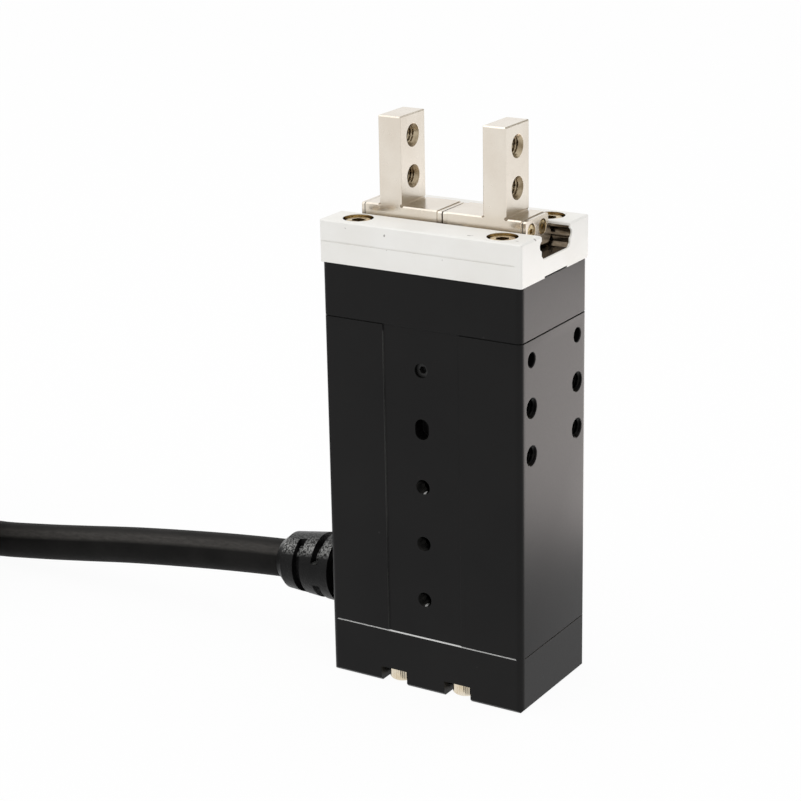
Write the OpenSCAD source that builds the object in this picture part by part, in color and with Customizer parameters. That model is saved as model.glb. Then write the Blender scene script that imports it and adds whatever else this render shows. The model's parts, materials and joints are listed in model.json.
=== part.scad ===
// Electric two finger parallel gripper: slim housing, built-in servo motor with a planetary
// gearhead, and one pinion that drives both fingers through two racks.
// Origin: centre of the bottom face. Z points up to the fingers, X runs along the stroke,
// and the front face, with the column of holes, looks along -Y.

/* [Housing] */
// Width of the housing along the stroke
body_w = 46; // [45:0.5:56]
// Depth of the housing from front to back
body_d = 28; // [27.5:0.5:36]
// Height of the bottom cap
cap_h = 12.2; // [10:0.1:16]
// Height of the gear housing
gear_h = 11.4; // [11:0.1:14]
// Radius of the vertical corners of the black parts
corner_r = 1.3; // [0.4:0.1:3]
// Width of the shallow recess down the front
recess_w = 17.5; // [14:0.5:22]
// Depth of the shallow recess down the front
recess_depth = 0.25; // [0.1:0.05:0.6]
// Thickness of the outer wall beside the wiring pocket
side_wall = 3.4; // [2.5:0.1:4.5]

/* [Mounting holes] */
// Distance between the stations of the front column
front_pitch = 12.45; // [11:0.05:13]
// Distance from the gearhead's top face down to the highest front station
front_drop = 5.6; // [4:0.1:8]
// Radius of the tapped front holes
front_hole_r = 1.25; // [1:0.05:1.5]
// Radius of the mouths of the front holes
front_mouth_r = 1.65; // [1.6:0.05:2]
// Width of the front dowel slot
slot_w = 3.2; // [2.5:0.1:4]
// Length of the front dowel slot
slot_l = 4.4; // [4.2:0.1:6]
// Distance from the centre plane to each column of side holes
side_y = 9.75; // [9:0.05:10.5]
// Distance between the rows of side holes
side_pitch = 10; // [9:0.5:11]
// Distance from the upper seam down to the side dowel holes
side_drop = 4; // [3:0.1:5]
// Radius of the tapped side holes
side_hole_r = 1.65; // [1.3:0.05:2]
// Radius of the mouths of the tapped side holes
side_mouth_r = 2.2; // [2.05:0.05:2.6]
// Depth of the tapped side holes
side_hole_depth = 8; // [5:0.5:9]
// Radius of the side dowel holes
dowel_r = 1.5; // [1.25:0.05:2]
// Depth of the side dowel holes
dowel_depth = 4; // [3:0.1:4.5]

/* [Guide block] */
// How far the guide block stands out past the black housing
guide_lip = 0.2; // [0:0.05:0.5]
// Height of the guide block
guide_h = 8.8; // [8.4:0.1:12]
// Width of the channel that the fingers run in
channel_w = 12; // [11.8:0.1:12.6]
// Depth of the channel
channel_depth = 4.9; // [4.7:0.1:5.2]
// Radius of the guide balls
ball_r = 1; // [0.9:0.05:1.1]
// Running clearance of a ball in its groove
ball_gap = 0.03; // [0.01:0.01:0.06]
// Balls in each row
ball_count = 5; // [3:1:5]
// Distance between the balls of a row
ball_pitch = 2.6; // [2.4:0.05:2.7]
// Thickness of a ball cage
cage_t = 0.35; // [0.25:0.05:0.4]
// Height of a ball cage
cage_h = 2.6; // [2.4:0.1:2.8]

/* [Fingers] */
// Travel of each finger
travel = 4; // [2:0.5:4]
// Width of a finger
finger_w = 9.7; // [9:0.1:10]
// Length of a finger's base along the stroke
base_l = 16.7; // [16.2:0.1:17]
// Height of a finger's base above the guide block
base_rise = 2.1; // [1.6:0.1:4]
// Thickness of a finger's post
post_t = 5.2; // [4.5:0.1:6]
// Height of a finger's post above its base
post_h = 18.2; // [16:0.2:30]
// Distance from the centre plane to the inner face of a post, fingers closed
post_x = 9.4; // [8:0.1:10.5]
// Radius of the tapped finger holes
finger_hole_r = 1.65; // [1.25:0.05:2]
// Radius of the mouths of the finger holes
finger_mouth_r = 2.4; // [2.1:0.05:2.8]
// Distance between the two holes of a finger
finger_pitch = 8.4; // [7:0.1:10]
// Distance from the top of a post down to its upper hole
finger_drop = 4.5; // [3.5:0.1:6]
// Thickness of the end caps on a finger's base
end_cap_t = 1.05; // [0.9:0.05:1.1]
// Distance between the two screws of an end cap
end_screw_pitch = 4.7; // [4:0.1:5.2]

/* [Drive] */
// Tooth module of the pinion and the racks
rack_module = 0.5; // [0.45:0.01:0.52]
// Teeth of the drive pinion, an even number
pinion_teeth = 16; // [14:2:16]
// Face width of the pinion and the racks
pinion_h = 5; // [4:0.1:5.5]
// Tooth module of the planetary gearhead
planet_module = 0.35; // [0.33:0.005:0.36]
// Teeth of the sun gear, a multiple of 3
sun_teeth = 12; // [12:3:12]
// Teeth of each planet gear, an even number
planet_teeth = 18; // [18:2:18]
// Face width of the planet gears
planet_h = 5.6; // [4:0.1:6]
// Radius of the planet pins
planet_pin_r = 0.7; // [0.5:0.05:0.9]
// Thinning of every tooth, which gives the running play
tooth_play = 0.05; // [0.03:0.01:0.08]
// Pressure angle of all teeth
pressure_angle = 20; // [20:1:22]

/* [Motor] */
// Outer diameter of the motor and gearhead
motor_d = 20; // [19.6:0.1:20.4]
// Length of the motor's can
can_h = 26.5; // [24:0.5:32]
// Length of the rear bell under the can
bell_h = 9.1; // [8.6:0.1:12]
// Height of the gearhead's toothed ring
ring_h = 9.8; // [9.5:0.1:12]
// Height of the gearhead's output housing
gearhead_h = 16.3; // [15:0.1:20]
// Thickness of the web over the gearhead
web_t = 3; // [2.5:0.1:4]
// Free height under the encoder board
board_room = 2.2; // [1.4:0.1:5]
// Radius of the motor's shaft
shaft_r = 1.5; // [1.3:0.05:1.7]
// Radius of the gearhead's output shaft
output_r = 2.5; // [2.2:0.05:2.6]
// Radius of the rotor magnet
magnet_r = 5.5; // [4.5:0.1:5.8]
// Air gap between the rotor magnet and the stator
air_gap = 0.3; // [0.2:0.05:0.5]

/* [Screws] */
// Distance from the centre plane to the guide screws along X
guide_screw_x = 16.6; // [16.5:0.1:18]
// Distance from the centre plane to the guide screws along Y
guide_screw_y = 9.8; // [9.7:0.1:10.4]
// Distance from the centre plane to the cap screws along X
cap_screw_x = 7.7; // [7:0.1:9]
// Distance from the front or back face in to the cap screws
cap_screw_inset = 3.7; // [3.4:0.1:4]
// Radius of the counterbores for the M3 heads
counterbore_r = 3.15; // [3:0.05:3.4]
// Length of the guide screws
guide_screw_l = 25; // [20:1:28]
// Length of the cap screws
cap_screw_l = 16; // [12:1:18]

/* [Cable] */
// Radius of the cable
cable_r = 4.25; // [3.2:0.05:4.3]
// Height of the cable's centre where it leaves the housing
cable_z = 17.6; // [17.4:0.1:19]
// Length of the strain relief's tapered part
boot_l = 17; // [15:0.5:18]
// Radius of the strain relief beside the housing
boot_root_r = 8.1; // [7:0.05:8.5]
// Radius of the strain relief at its free end
boot_tip_r = 6.35; // [5.8:0.05:6.6]
// Droop of the strain relief in degrees
boot_droop = 3.5; // [2:0.5:5]
// Mean radius of the coil
coil_r = 43; // [43:1:48]
// Radius of the plug's coupling nut
plug_nut_r = 7.5; // [6.5:0.1:9]
// Length of the plug's moulded body
plug_body_l = 28; // [20:1:36]

/* [Hidden] */
$fn = 48;
eps = 0.02;
// Clearance of a screw in its tapped hole, of a fit, and of a screw in a plain hole
thread_gap = 0.02;
fit = 0.02;
screw_gap = 0.1;
// Room that sliding inner pieces keep from the walls
run_gap = 0.3;

// M3, M2.5, M2 and M1.6 socket screws: shank radius, head radius, head height, key width
m3 = [1.5, 2.75, 3, 2.5];
m25 = [1.25, 2.25, 2.5, 2];
m2 = [1, 1.9, 1.3, 1.5];
m16 = [0.8, 1.5, 0.55, 0.9];

// Heights of the housing's seams
body_h = board_room + bell_h + can_h + ring_h + gearhead_h + web_t;
z_body = cap_h;
z_gear = z_body + body_h;
z_guide = z_gear + gear_h;
z_top = z_guide + guide_h;
z_floor = z_top - channel_depth;

// Motor and gearhead stack, from the top down
z_web = z_gear - web_t;
z_output = z_web - gearhead_h;
z_ring = z_output - ring_h;
z_can = z_ring - can_h;
z_bell = z_can - bell_h;
motor_r = motor_d / 2;
motor_bore_r = motor_r + 0.1;
can_wall = 0.7;
core_r = motor_r - can_wall - fit;

// Stator, magnet and windings inside the can
core_room = 3.5;
core_h = can_h - 3 - 2 * core_room;
z_core = z_can + core_room;
stator_in_r = magnet_r + air_gap;
slot_count = 6;
winding_rise = 2.2;

// Motor bearings and the bell's skirt
motor_bearing = [shaft_r + fit, 3, 2.5];
skirt_h = 5.6;
board_t = 1;

// Planetary gearhead
sun_r = planet_module * sun_teeth / 2;
planet_r = planet_module * planet_teeth / 2;
ring_teeth = sun_teeth + 2 * planet_teeth;
planet_orbit = sun_r + planet_r;
z_planet = z_ring + 2.2;
z_carrier = z_planet + planet_h + 0.5;
carrier_h = 2.5;
carrier_r = planet_orbit + planet_pin_r + 0.85;
sun_bore_r = 1;
stub = 0.8;
root_depth = 1.05;

// Output bearings, from the carrier up
output_bearing = [output_r + fit, 4.5, 3];
z_bearing_low = z_carrier + carrier_h + 1.2;
z_bearing_high = z_web - 1.5 - output_bearing[2];

// Pinion and racks in the gear housing
pinion_r = rack_module * pinion_teeth / 2;
rack_floor = 2.9;
z_rack = z_gear + rack_floor + 0.5;
tooth_pitch = PI * rack_module;
rack_tip_y = pinion_r - stub * rack_module;
rack_root_y = pinion_r + root_depth * rack_module;
rack_back_y = rack_root_y + 2.7;
rack_lead = travel + 2.8;
tongue_l = 4.4;
tongue_w = 5;
tongue_sink = 0.5;
pinion_bearing = [1.5 + fit, 3, 2.5];
relief_depth = 0.35;
relief_w = 9.5;
z_pinion_bearing = z_guide + relief_depth;

// Channel and ball rows
ball_y = channel_w / 2 - 0.25;
ball_z = z_floor + 2.8;
groove_r = ball_r + ball_gap;
flank_y = ball_y - 0.5;
floor_chamfer = 0.8;

// Fingers, fingers closed
finger_in = 1.2;
finger_out = finger_in + base_l;
finger_mid = (finger_in + finger_out) / 2;
z_base = z_top + base_rise;
z_post = z_base + post_h;
z_foot = z_floor + 0.9;
tongue_x = finger_mid;
cage_l = base_l - travel / 2 - 1.1;
cage_x = finger_mid + travel / 4;
cap_lobe_r = 1.7;
cap_lobe_y = channel_w / 2 - 0.2 - cap_lobe_r;
z_end_screw = z_top - 0.4;

// Screws
guide_bore_depth = m3[2] + 0.4;
cap_bore_depth = m3[2] + 0.3;
cap_screw_y = body_d / 2 - cap_screw_inset;
gearhead_screw_r = motor_r - 2.8;
rack_screw_l = 12;

// Stations of the front column, lowest first, and rows of side holes
front_z = [for (i = [4:-1:0]) z_web - front_drop - i * front_pitch];
hole_floor = 0.6;
front_hole_depth = body_d / 2 - motor_bore_r - hole_floor;
side_z = [for (i = [0:2]) z_gear - side_drop - i * side_pitch];

// Wiring pocket and driver board
pocket_in = motor_bore_r + 1.1;
pocket_out = body_w / 2 - side_wall;
pocket_y = 9.6;
z_pocket = side_z[2] - side_mouth_r - 2.3;
driver_t = 1.6;
driver_x = -pocket_in - 0.4 - driver_t;
z_header = z_body + 14;

// Parts on the driver board, depth, width and height, and the heights of their centres
header = [3, 11, 5];
controller = [1, 7, 7];
bridge = [1.1, 4, 5];
bridge_pitch = 5.6;
capacitor_r = 1.8;
capacitor_l = 4;
capacitor_y = pocket_y - 2.4;
z_capacitor = z_header + header[2] + 5;
z_controller = z_header + header[2] + 7;
z_bridge = z_controller + controller[2] + 1.2;

// Strain relief: it starts in the wall of the housing and points along -X
boot_x = -body_w / 2;
boot_flange_t = 2.4;
boot_neck_r = cable_r + 0.45;
collar_t = 1.5;
cable_end_x = -pocket_out + 2;
boot_pivot = [boot_x - 1.5, 0, cable_z];

// Coil: one turn wide, its layers stacked, each a diameter higher than the last
coil_centre = [-165.5, -35, 0];
coil_layers = 3;
coil_h = coil_layers * 2 * cable_r;
coil_in_angle = 68;
climb_angles = [-20, 50];
function on_coil(angle, z) = coil_centre + [coil_r * cos(angle), coil_r * sin(angle), z];
// Route of the free cable, chosen by hand: first in the strain relief, last in the coil
cable_route = [
    [boot_x + 5.4, 0, cable_z], [boot_x - 1.5, 0, cable_z], [-35, 0, 17], [-45, 0, 16.3],
    [-60, 0, 14.7], [-74, 0, 12.9], [-88, 0, 10.9], [-102, 0, 8.6], [-116, 0, 6.4],
    [-130, 0, 4.6], [-139, 1.1, cable_r], on_coil(coil_in_angle, cable_r)
];
// Tail: it climbs out of the top layer, turns inwards over the coil and ends straight
tail_r = 8 * cable_r;
tail_centre = coil_centre + [0, coil_r - tail_r, 0];
tail_z = coil_h + plug_nut_r + fit;
climb_steps = 4;
turn_steps = 5;
tail_route = [
    for (i = [0:climb_steps])
        on_coil(climb_angles[0] + (climb_angles[1] - climb_angles[0]) * i / climb_steps,
            coil_h - cable_r + 2 * cable_r * i / climb_steps),
    on_coil(70, coil_h + cable_r),
    for (i = [0:turn_steps])
        let (share = i / turn_steps)
        tail_centre + [-tail_r * sin(90 * share), tail_r * cos(90 * share),
            coil_h + cable_r + (tail_z - coil_h - cable_r) * share],
    tail_centre + [-tail_r, -4, tail_z]
];
cable_sides = 10;
plug_at = tail_route[len(tail_route) - 1];
plug_nut_l = 15;
plug_spigot_r = plug_nut_r - 2.2;
plug_spigot_l = 3;

// ---- Shared shapes ----

module rounded_rect(w, d, r) {
    square([w - 2 * r, d], center = true);
    square([w, d - 2 * r], center = true);
    for (sx = [-1, 1], sy = [-1, 1])
        translate([sx * (w / 2 - r), sy * (d / 2 - r)])
            circle(r);
}

module rounded_block(w, d, h, r) {
    linear_extrude(h)
        rounded_rect(w, d, r);
}

module chamfer_rect(w, d, c) {
    polygon([
        [c - w / 2, -d / 2], [w / 2 - c, -d / 2], [w / 2, c - d / 2], [w / 2, d / 2 - c],
        [w / 2 - c, d / 2], [c - w / 2, d / 2], [-w / 2, d / 2 - c], [-w / 2, c - d / 2]
    ]);
}

// Box with all twelve edges chamfered, its bottom face on z = 0
module chamfer_box(w, d, h, c) {
    intersection() {
        linear_extrude(h)
            chamfer_rect(w, d, c);
        translate([0, d, h / 2])
            rotate([90, 0, 0])
                linear_extrude(2 * d)
                    chamfer_rect(w, h, c);
        translate([-w, 0, h / 2])
            rotate([90, 0, 90])
                linear_extrude(2 * w)
                    chamfer_rect(d, h, c);
    }
}

// Square bar turned on its edge, to cut a chamfer along X or along Y
module chamfer_bar_x(l, c) {
    rotate([45, 0, 0])
        cube([l, c * sqrt(2), c * sqrt(2)], center = true);
}

module chamfer_bar_y(l, c) {
    rotate([0, 45, 0])
        cube([c * sqrt(2), l, c * sqrt(2)], center = true);
}

module tube(outer_r, inner_r, h) {
    difference() {
        cylinder(r = outer_r, h = h);
        translate([0, 0, -1])
            cylinder(r = inner_r, h = h + 2);
    }
}

// Four copies, one in each quadrant
module in_quadrants(x, y) {
    for (sx = [-1, 1], sy = [-1, 1])
        translate([sx * x, sy * y, 0])
            children();
}

// Turns a shape drawn along +Z so that it points along +X
module along_x() {
    rotate([0, 90, 0])
        children();
}

// The same piece on the left finger
module on_left() {
    rotate([0, 0, 180])
        children();
}

// Socket head screw: the head stands on z = 0, the shank points down
module socket_screw(size, shank_l) {
    edge = 0.2;
    difference() {
        union() {
            cylinder(r = size[1], h = size[2] - edge);
            translate([0, 0, size[2] - edge])
                cylinder(r1 = size[1], r2 = size[1] - edge, h = edge);
            translate([0, 0, -shank_l])
                cylinder(r = size[0], h = shank_l + eps);
        }
        translate([0, 0, size[2] * 0.45])
            cylinder(r = size[3] / sqrt(3), h = size[2], $fn = 6);
    }
}

// Tapped or plain hole from z = 0 downwards, with a countersunk mouth
module mouth_hole(r, mouth_r, depth) {
    translate([0, 0, -depth])
        cylinder(r = r, h = depth + 1);
    translate([0, 0, r - mouth_r])
        cylinder(r1 = r, r2 = mouth_r, h = mouth_r - r);
    cylinder(r = mouth_r, h = 1);
}

// Shielded ball bearing, outer ring, shields and inner ring as one turned ring
module bearing(size) {
    bore = size[0];
    outer = size[1];
    h = size[2];
    lip = (outer - bore) * 0.28;
    sink = 0.15;
    rotate_extrude()
        polygon([
            [bore, 0], [bore + lip, 0], [bore + lip, sink], [outer - lip, sink], [outer - lip, 0],
            [outer, 0], [outer, h], [outer - lip, h], [outer - lip, h - sink],
            [bore + lip, h - sink], [bore + lip, h], [bore, h]
        ]);
}

// ---- Gear teeth ----

function involute(angle) = tan(angle) * 180 / PI - angle;

// Half of a tooth's angle at radius r
function half_tooth(r, base_r, pitch_r, teeth, play) =
    90 / teeth - play / (2 * pitch_r) * 180 / PI + involute(pressure_angle)
    - involute(acos(min(1, base_r / r)));

// One flank from root to tip, as radius and half angle
function flank(root_r, tip_r, base_r, pitch_r, teeth, play) =
    let (start = max(root_r, base_r))
    concat(
        root_r < base_r ? [[root_r, half_tooth(base_r, base_r, pitch_r, teeth, play)]] : [],
        [for (i = [0:3]) let (r = start + (tip_r - start) * i / 3)
            [r, half_tooth(r, base_r, pitch_r, teeth, play)]]
    );

function polar(r, a) = [r * cos(a), r * sin(a)];

// Outline of a spur gear with a tooth centred on +X
module gear_outline(size, teeth, addendum, dedendum, play) {
    pitch_r = size * teeth / 2;
    side = flank(pitch_r - dedendum, pitch_r + addendum, pitch_r * cos(pressure_angle),
        pitch_r, teeth, play);
    last = len(side) - 1;
    polygon([
        for (t = [0:teeth - 1], i = [0:2 * last + 1])
            let (p = i <= last ? side[i] : side[2 * last + 1 - i], s = i <= last ? -1 : 1)
            polar(p[0], 360 * t / teeth + s * p[1])
    ]);
}

// Straight teeth along X that point to +Y, with a gap centred on x = 0
module rack_teeth(x_from, x_to) {
    tip_half = tooth_pitch / 4 - tooth_play / 2 - stub * rack_module * tan(pressure_angle);
    root_half = tooth_pitch / 4 - tooth_play / 2 + root_depth * rack_module * tan(pressure_angle);
    first = ceil((x_from + root_half) / tooth_pitch - 0.5);
    final = floor((x_to - root_half) / tooth_pitch - 0.5);
    for (i = [first:final])
        translate([(i + 0.5) * tooth_pitch, 0])
            polygon([
                [-root_half, -rack_root_y - eps], [root_half, -rack_root_y - eps],
                [root_half, -rack_root_y], [tip_half, -rack_tip_y], [-tip_half, -rack_tip_y],
                [-root_half, -rack_root_y]
            ]);
}

// ---- Housing ----

module cap_screw_places() {
    in_quadrants(cap_screw_x, cap_screw_y)
        children();
}

module guide_screw_places() {
    in_quadrants(guide_screw_x, guide_screw_y)
        children();
}

// Rebate round the edge of a housing part, which leaves a narrow gap along the seam
module seam_rebate(h) {
    depth = 0.25;
    difference() {
        rounded_block(body_w + 2, body_d + 2, h, corner_r + 1);
        translate([0, 0, -1])
            rounded_block(body_w - 2 * depth, body_d - 2 * depth, h + 2, corner_r - depth);
    }
}

module bottom_cap() {
    edge = 0.6;
    color("#202022")
        difference() {
            rounded_block(body_w, body_d, cap_h, corner_r);
            // wiring space
            translate([-pocket_out, -pocket_y + 1.8, 4.5])
                cube([2 * pocket_out, 2 * pocket_y - 3.6, cap_h]);
            // counterbores that run out through the front and back faces
            for (sx = [-1, 1], sy = [-1, 1])
                translate([sx * cap_screw_x, sy * cap_screw_y, -1]) {
                    cylinder(r = counterbore_r, h = cap_bore_depth + 1);
                    translate([-counterbore_r, sy > 0 ? 0 : -body_d / 2, 0])
                        cube([2 * counterbore_r, body_d / 2, cap_bore_depth + 1]);
                    cylinder(r = m3[0] + screw_gap, h = cap_h + 2);
                }
            // edges round the bottom, and the bright bevel along the front seam
            for (s = [-1, 1]) {
                translate([0, s * body_d / 2, 0])
                    chamfer_bar_x(body_w + 2, edge);
                translate([s * body_w / 2, 0, 0])
                    chamfer_bar_y(body_d + 2, edge);
            }
            translate([0, -body_d / 2, cap_h])
                chamfer_bar_x(body_w - 2 * corner_r, 0.35);
            translate([0, 0, cap_h - 0.3])
                intersection() {
                    seam_rebate(1.3);
                    translate([-body_w, corner_r - body_d / 2, -1])
                        cube([2 * body_w, 2 * body_d, 4]);
                }
        }
}

module cap_screws() {
    color("#d9d2c6")
        cap_screw_places()
            translate([0, 0, cap_bore_depth])
                rotate([180, 0, 0])
                    socket_screw(m3, cap_screw_l);
}

module front_hole(i) {
    translate([0, recess_depth - body_d / 2, front_z[i]])
        rotate([90, 0, 0])
            mouth_hole(front_hole_r, front_mouth_r, front_hole_depth - recess_depth);
}

module front_slot() {
    depth = front_hole_depth;
    reach = (slot_l - slot_w) / 2;
    translate([0, -body_d / 2 + depth, front_z[3]])
        rotate([90, 0, 0]) {
            for (s = [-1, 1])
                translate([0, s * reach, 0])
                    cylinder(r = slot_w / 2, h = depth + 1);
            translate([-slot_w / 2, -reach, 0])
                cube([slot_w, 2 * reach, depth + 1]);
        }
}

module side_holes() {
    for (sx = [-1, 1], sy = [-1, 1]) {
        for (row = [1, 2])
            translate([sx * body_w / 2, sy * side_y, side_z[row]])
                rotate([0, sx * 90, 0])
                    mouth_hole(side_hole_r, side_mouth_r, side_hole_depth);
        translate([sx * body_w / 2, sy * side_y, side_z[0]])
            rotate([0, sx * 90, 0])
                mouth_hole(dowel_r, dowel_r + 0.15, dowel_depth);
    }
}

module gearhead_screw_places() {
    in_quadrants(gearhead_screw_r * cos(45), gearhead_screw_r * sin(45))
        children();
}

module main_body() {
    color("#1c1c1e")
        difference() {
            translate([0, 0, z_body])
                rounded_block(body_w, body_d, body_h, corner_r);
            // shallow recess down the front
            translate([-recess_w / 2, -body_d / 2 - 1, z_body - 1])
                cube([recess_w, 1 + recess_depth, body_h + 2]);
            // bore for the motor and gearhead, and the way out for the shaft
            translate([0, 0, z_body - 1])
                cylinder(r = motor_bore_r, h = z_web - z_body + 1);
            translate([0, 0, z_web - 1])
                cylinder(r = output_r + 1.5, h = web_t + 2);
            gearhead_screw_places()
                translate([0, 0, z_web - 1]) {
                    cylinder(r = m2[0] + screw_gap, h = web_t + 2);
                    translate([0, 0, 1 + web_t - m2[2] - 0.2])
                        cylinder(r = m2[1] + 0.2, h = 3);
                }
            // wiring pocket and its window into the motor bore
            translate([-pocket_out, -pocket_y, z_body - 1])
                cube([pocket_out - pocket_in, 2 * pocket_y, z_pocket - z_body + 1]);
            translate([-pocket_in - 1, -3, z_body - 1])
                cube([4, 6, bell_h]);
            // cable hole
            translate([-body_w / 2 - 1, 0, cable_z])
                along_x()
                    cylinder(r = boot_neck_r + screw_gap, h = side_wall + 2);
            // mounting holes
            for (i = [0:2])
                front_hole(i);
            front_slot();
            translate([0, 0, front_z[4]])
                rotate([90, 0, 0])
                    cylinder(r = m3[0] + thread_gap, h = body_d);
            side_holes();
            // tapped holes for the guide screws and the cap screws
            guide_screw_places()
                translate([0, 0, z_top - guide_bore_depth - guide_screw_l - 0.5])
                    cylinder(r = m3[0] + thread_gap, h = guide_screw_l + guide_h);
            cap_screw_places()
                translate([0, 0, z_body - 1])
                    cylinder(r = m3[0] + thread_gap,
                        h = cap_bore_depth + cap_screw_l - z_body + 1.5);
        }
}

module gear_housing() {
    reach = tongue_x + tongue_l / 2 + travel + 0.5;
    color("#1a1a1c")
        difference() {
            translate([0, 0, z_gear])
                rounded_block(body_w, body_d, gear_h, corner_r);
            translate([0, 0, z_gear - 1])
                seam_rebate(1.3);
            // room for the racks and the pinion
            translate([-reach, -rack_back_y - run_gap, z_gear + rack_floor])
                cube([2 * reach, 2 * (rack_back_y + run_gap), gear_h]);
            translate([0, 0, z_gear - 1])
                cylinder(r = output_r + 1.5, h = rack_floor + 2);
            guide_screw_places()
                translate([0, 0, z_gear - 1])
                    cylinder(r = m3[0] + screw_gap, h = gear_h + 2);
        }
}

// Opening of the channel as seen along X
module channel_profile() {
    half = channel_w / 2;
    rise = channel_depth + 1;
    polygon([
        [-half, rise], [-half, floor_chamfer], [floor_chamfer - half, 0],
        [half - floor_chamfer, 0], [half, floor_chamfer], [half, rise]
    ]);
}

module guide_block() {
    w = body_w + 2 * guide_lip;
    d = body_d + 2 * guide_lip;
    edge = 0.3;
    slot_from = tongue_x - tongue_l / 2 - run_gap;
    slot_to = tongue_x + tongue_l / 2 + travel + run_gap;
    color("#e3e3e2")
        difference() {
            translate([0, 0, z_guide])
                rounded_block(w, d, guide_h, 0.5);
            translate([-w, 0, z_floor])
                rotate([90, 0, 90])
                    linear_extrude(2 * w)
                        channel_profile();
            for (s = [-1, 1]) {
                // ball grooves
                translate([-w, s * ball_y, ball_z])
                    along_x()
                        cylinder(r = groove_r, h = 2 * w);
                // slots for the rack tongues
                translate([s > 0 ? slot_from : -slot_to, -tongue_w / 2 - run_gap, z_guide - 1])
                    cube([slot_to - slot_from, tongue_w + 2 * run_gap, guide_h]);
                // chamfers along the top edges
                translate([0, s * d / 2, z_top])
                    chamfer_bar_x(w + 2, edge);
                translate([s * w / 2, 0, z_top])
                    chamfer_bar_y(d + 2, edge);
                translate([0, s * channel_w / 2, z_top])
                    chamfer_bar_x(w + 2, 0.2);
                // fine datum groove along the front and back
                translate([-w / 2 - 1, s * d / 2 - 0.12, z_floor + 0.4])
                    cube([w - 0.5, 0.24, 0.22]);
            }
            guide_screw_places() {
                translate([0, 0, z_top - guide_bore_depth])
                    cylinder(r = counterbore_r, h = guide_bore_depth + 1);
                translate([0, 0, z_guide - 1])
                    cylinder(r = m3[0] + screw_gap, h = guide_h);
            }
            // relief under the block and the seat of the pinion's bearing
            translate([-w / 2 - 1, -relief_w / 2, z_guide - 1])
                cube([w + 2, relief_w, relief_depth + 1]);
            translate([0, 0, z_guide])
                cylinder(r = pinion_bearing[1] + fit, h = relief_depth + pinion_bearing[2] + 0.1);
        }
}

module guide_screws() {
    color("#c9b98f")
        guide_screw_places()
            translate([0, 0, z_top - guide_bore_depth])
                socket_screw(m3, guide_screw_l);
}

// ---- Motor ----

module motor_can() {
    front_t = 3;
    color("#9a9da1")
        difference() {
            translate([0, 0, z_can])
                cylinder(r = motor_r, h = can_h);
            translate([0, 0, z_can - 1])
                cylinder(r = motor_r - can_wall, h = can_h - front_t + 1);
            translate([0, 0, z_ring - front_t - 1])
                cylinder(r = motor_bearing[1] + fit, h = motor_bearing[2] + 1);
            translate([0, 0, z_ring - front_t])
                cylinder(r = shaft_r + 0.5, h = front_t + 1);
        }
}

module rear_bell() {
    web = bell_h - skirt_h;
    color("#8c8f94")
        difference() {
            union() {
                translate([0, 0, z_bell])
                    cylinder(r = motor_r, h = bell_h);
                translate([0, 0, z_can - eps])
                    cylinder(r = core_r, h = 1 + eps);
            }
            translate([0, 0, z_bell - 1])
                cylinder(r = motor_r - 1.4, h = skirt_h + 1);
            translate([0, 0, z_can])
                cylinder(r = core_r - 1.8, h = 2);
            translate([0, 0, z_can - motor_bearing[2]])
                cylinder(r = motor_bearing[1] + fit, h = web + 1);
            translate([0, 0, z_bell])
                cylinder(r = shaft_r + 0.5, h = bell_h);
        }
}

module stator_slots(grow) {
    for (i = [0:slot_count - 1])
        rotate([0, 0, i * 360 / slot_count])
            translate([stator_in_r + 0.9 - grow, -1.3 - grow, 0])
                square([core_r - stator_in_r - 1.9 + 2 * grow, 2.6 + 2 * grow]);
}

module stator_core() {
    color("#5a5c60")
        translate([0, 0, z_core])
            linear_extrude(core_h)
                difference() {
                    circle(core_r);
                    circle(stator_in_r);
                    stator_slots(0);
                    for (i = [0:slot_count - 1])
                        rotate([0, 0, i * 360 / slot_count])
                            translate([stator_in_r - 0.5, -0.4])
                                square([2, 0.8]);
                }
}

module windings() {
    inner = stator_in_r + 0.6;
    outer = core_r - 0.8;
    color("#b4652a") {
        translate([0, 0, z_core - eps])
            linear_extrude(core_h + 2 * eps)
                stator_slots(-0.1);
        for (z = [z_core - winding_rise, z_core + core_h])
            translate([0, 0, z])
                tube(outer, inner, winding_rise);
    }
}

module motor_bearings() {
    color("#b9bcc0") {
        translate([0, 0, z_can - motor_bearing[2]])
            bearing(motor_bearing);
        translate([0, 0, z_ring - 3])
            bearing(motor_bearing);
    }
}

module motor_shaft() {
    color("#a8abb0") {
        translate([0, 0, z_bell + 3.6])
            cylinder(r = shaft_r, h = z_ring - z_bell - 3.6 + 0.3);
        translate([0, 0, z_ring])
            cylinder(r = sun_bore_r, h = z_planet + planet_h - z_ring + 0.2);
    }
}

module rotor_magnet() {
    color("#46484c")
        translate([0, 0, z_core - 0.5])
            tube(magnet_r, shaft_r + fit, core_h + 1);
}

module encoder_magnet() {
    color("#6c6e72")
        translate([0, 0, z_bell + 1.6])
            cylinder(r = 3, h = 2);
}

module encoder_board() {
    chip = 4;
    color("#1f5a34") {
        translate([0, 0, z_bell - board_t])
            cylinder(r = motor_r - 0.2, h = board_t);
        translate([-chip / 2, -chip / 2, z_bell - eps])
            cube([chip, chip, 0.8]);
    }
}

// ---- Planetary gearhead ----

module sun_gear() {
    color("#c4bda8")
        translate([0, 0, z_planet - 0.2])
            linear_extrude(planet_h + 0.4)
                difference() {
                    gear_outline(planet_module, sun_teeth, stub * planet_module,
                        root_depth * planet_module, tooth_play);
                    circle(sun_bore_r + fit);
                }
}

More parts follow.
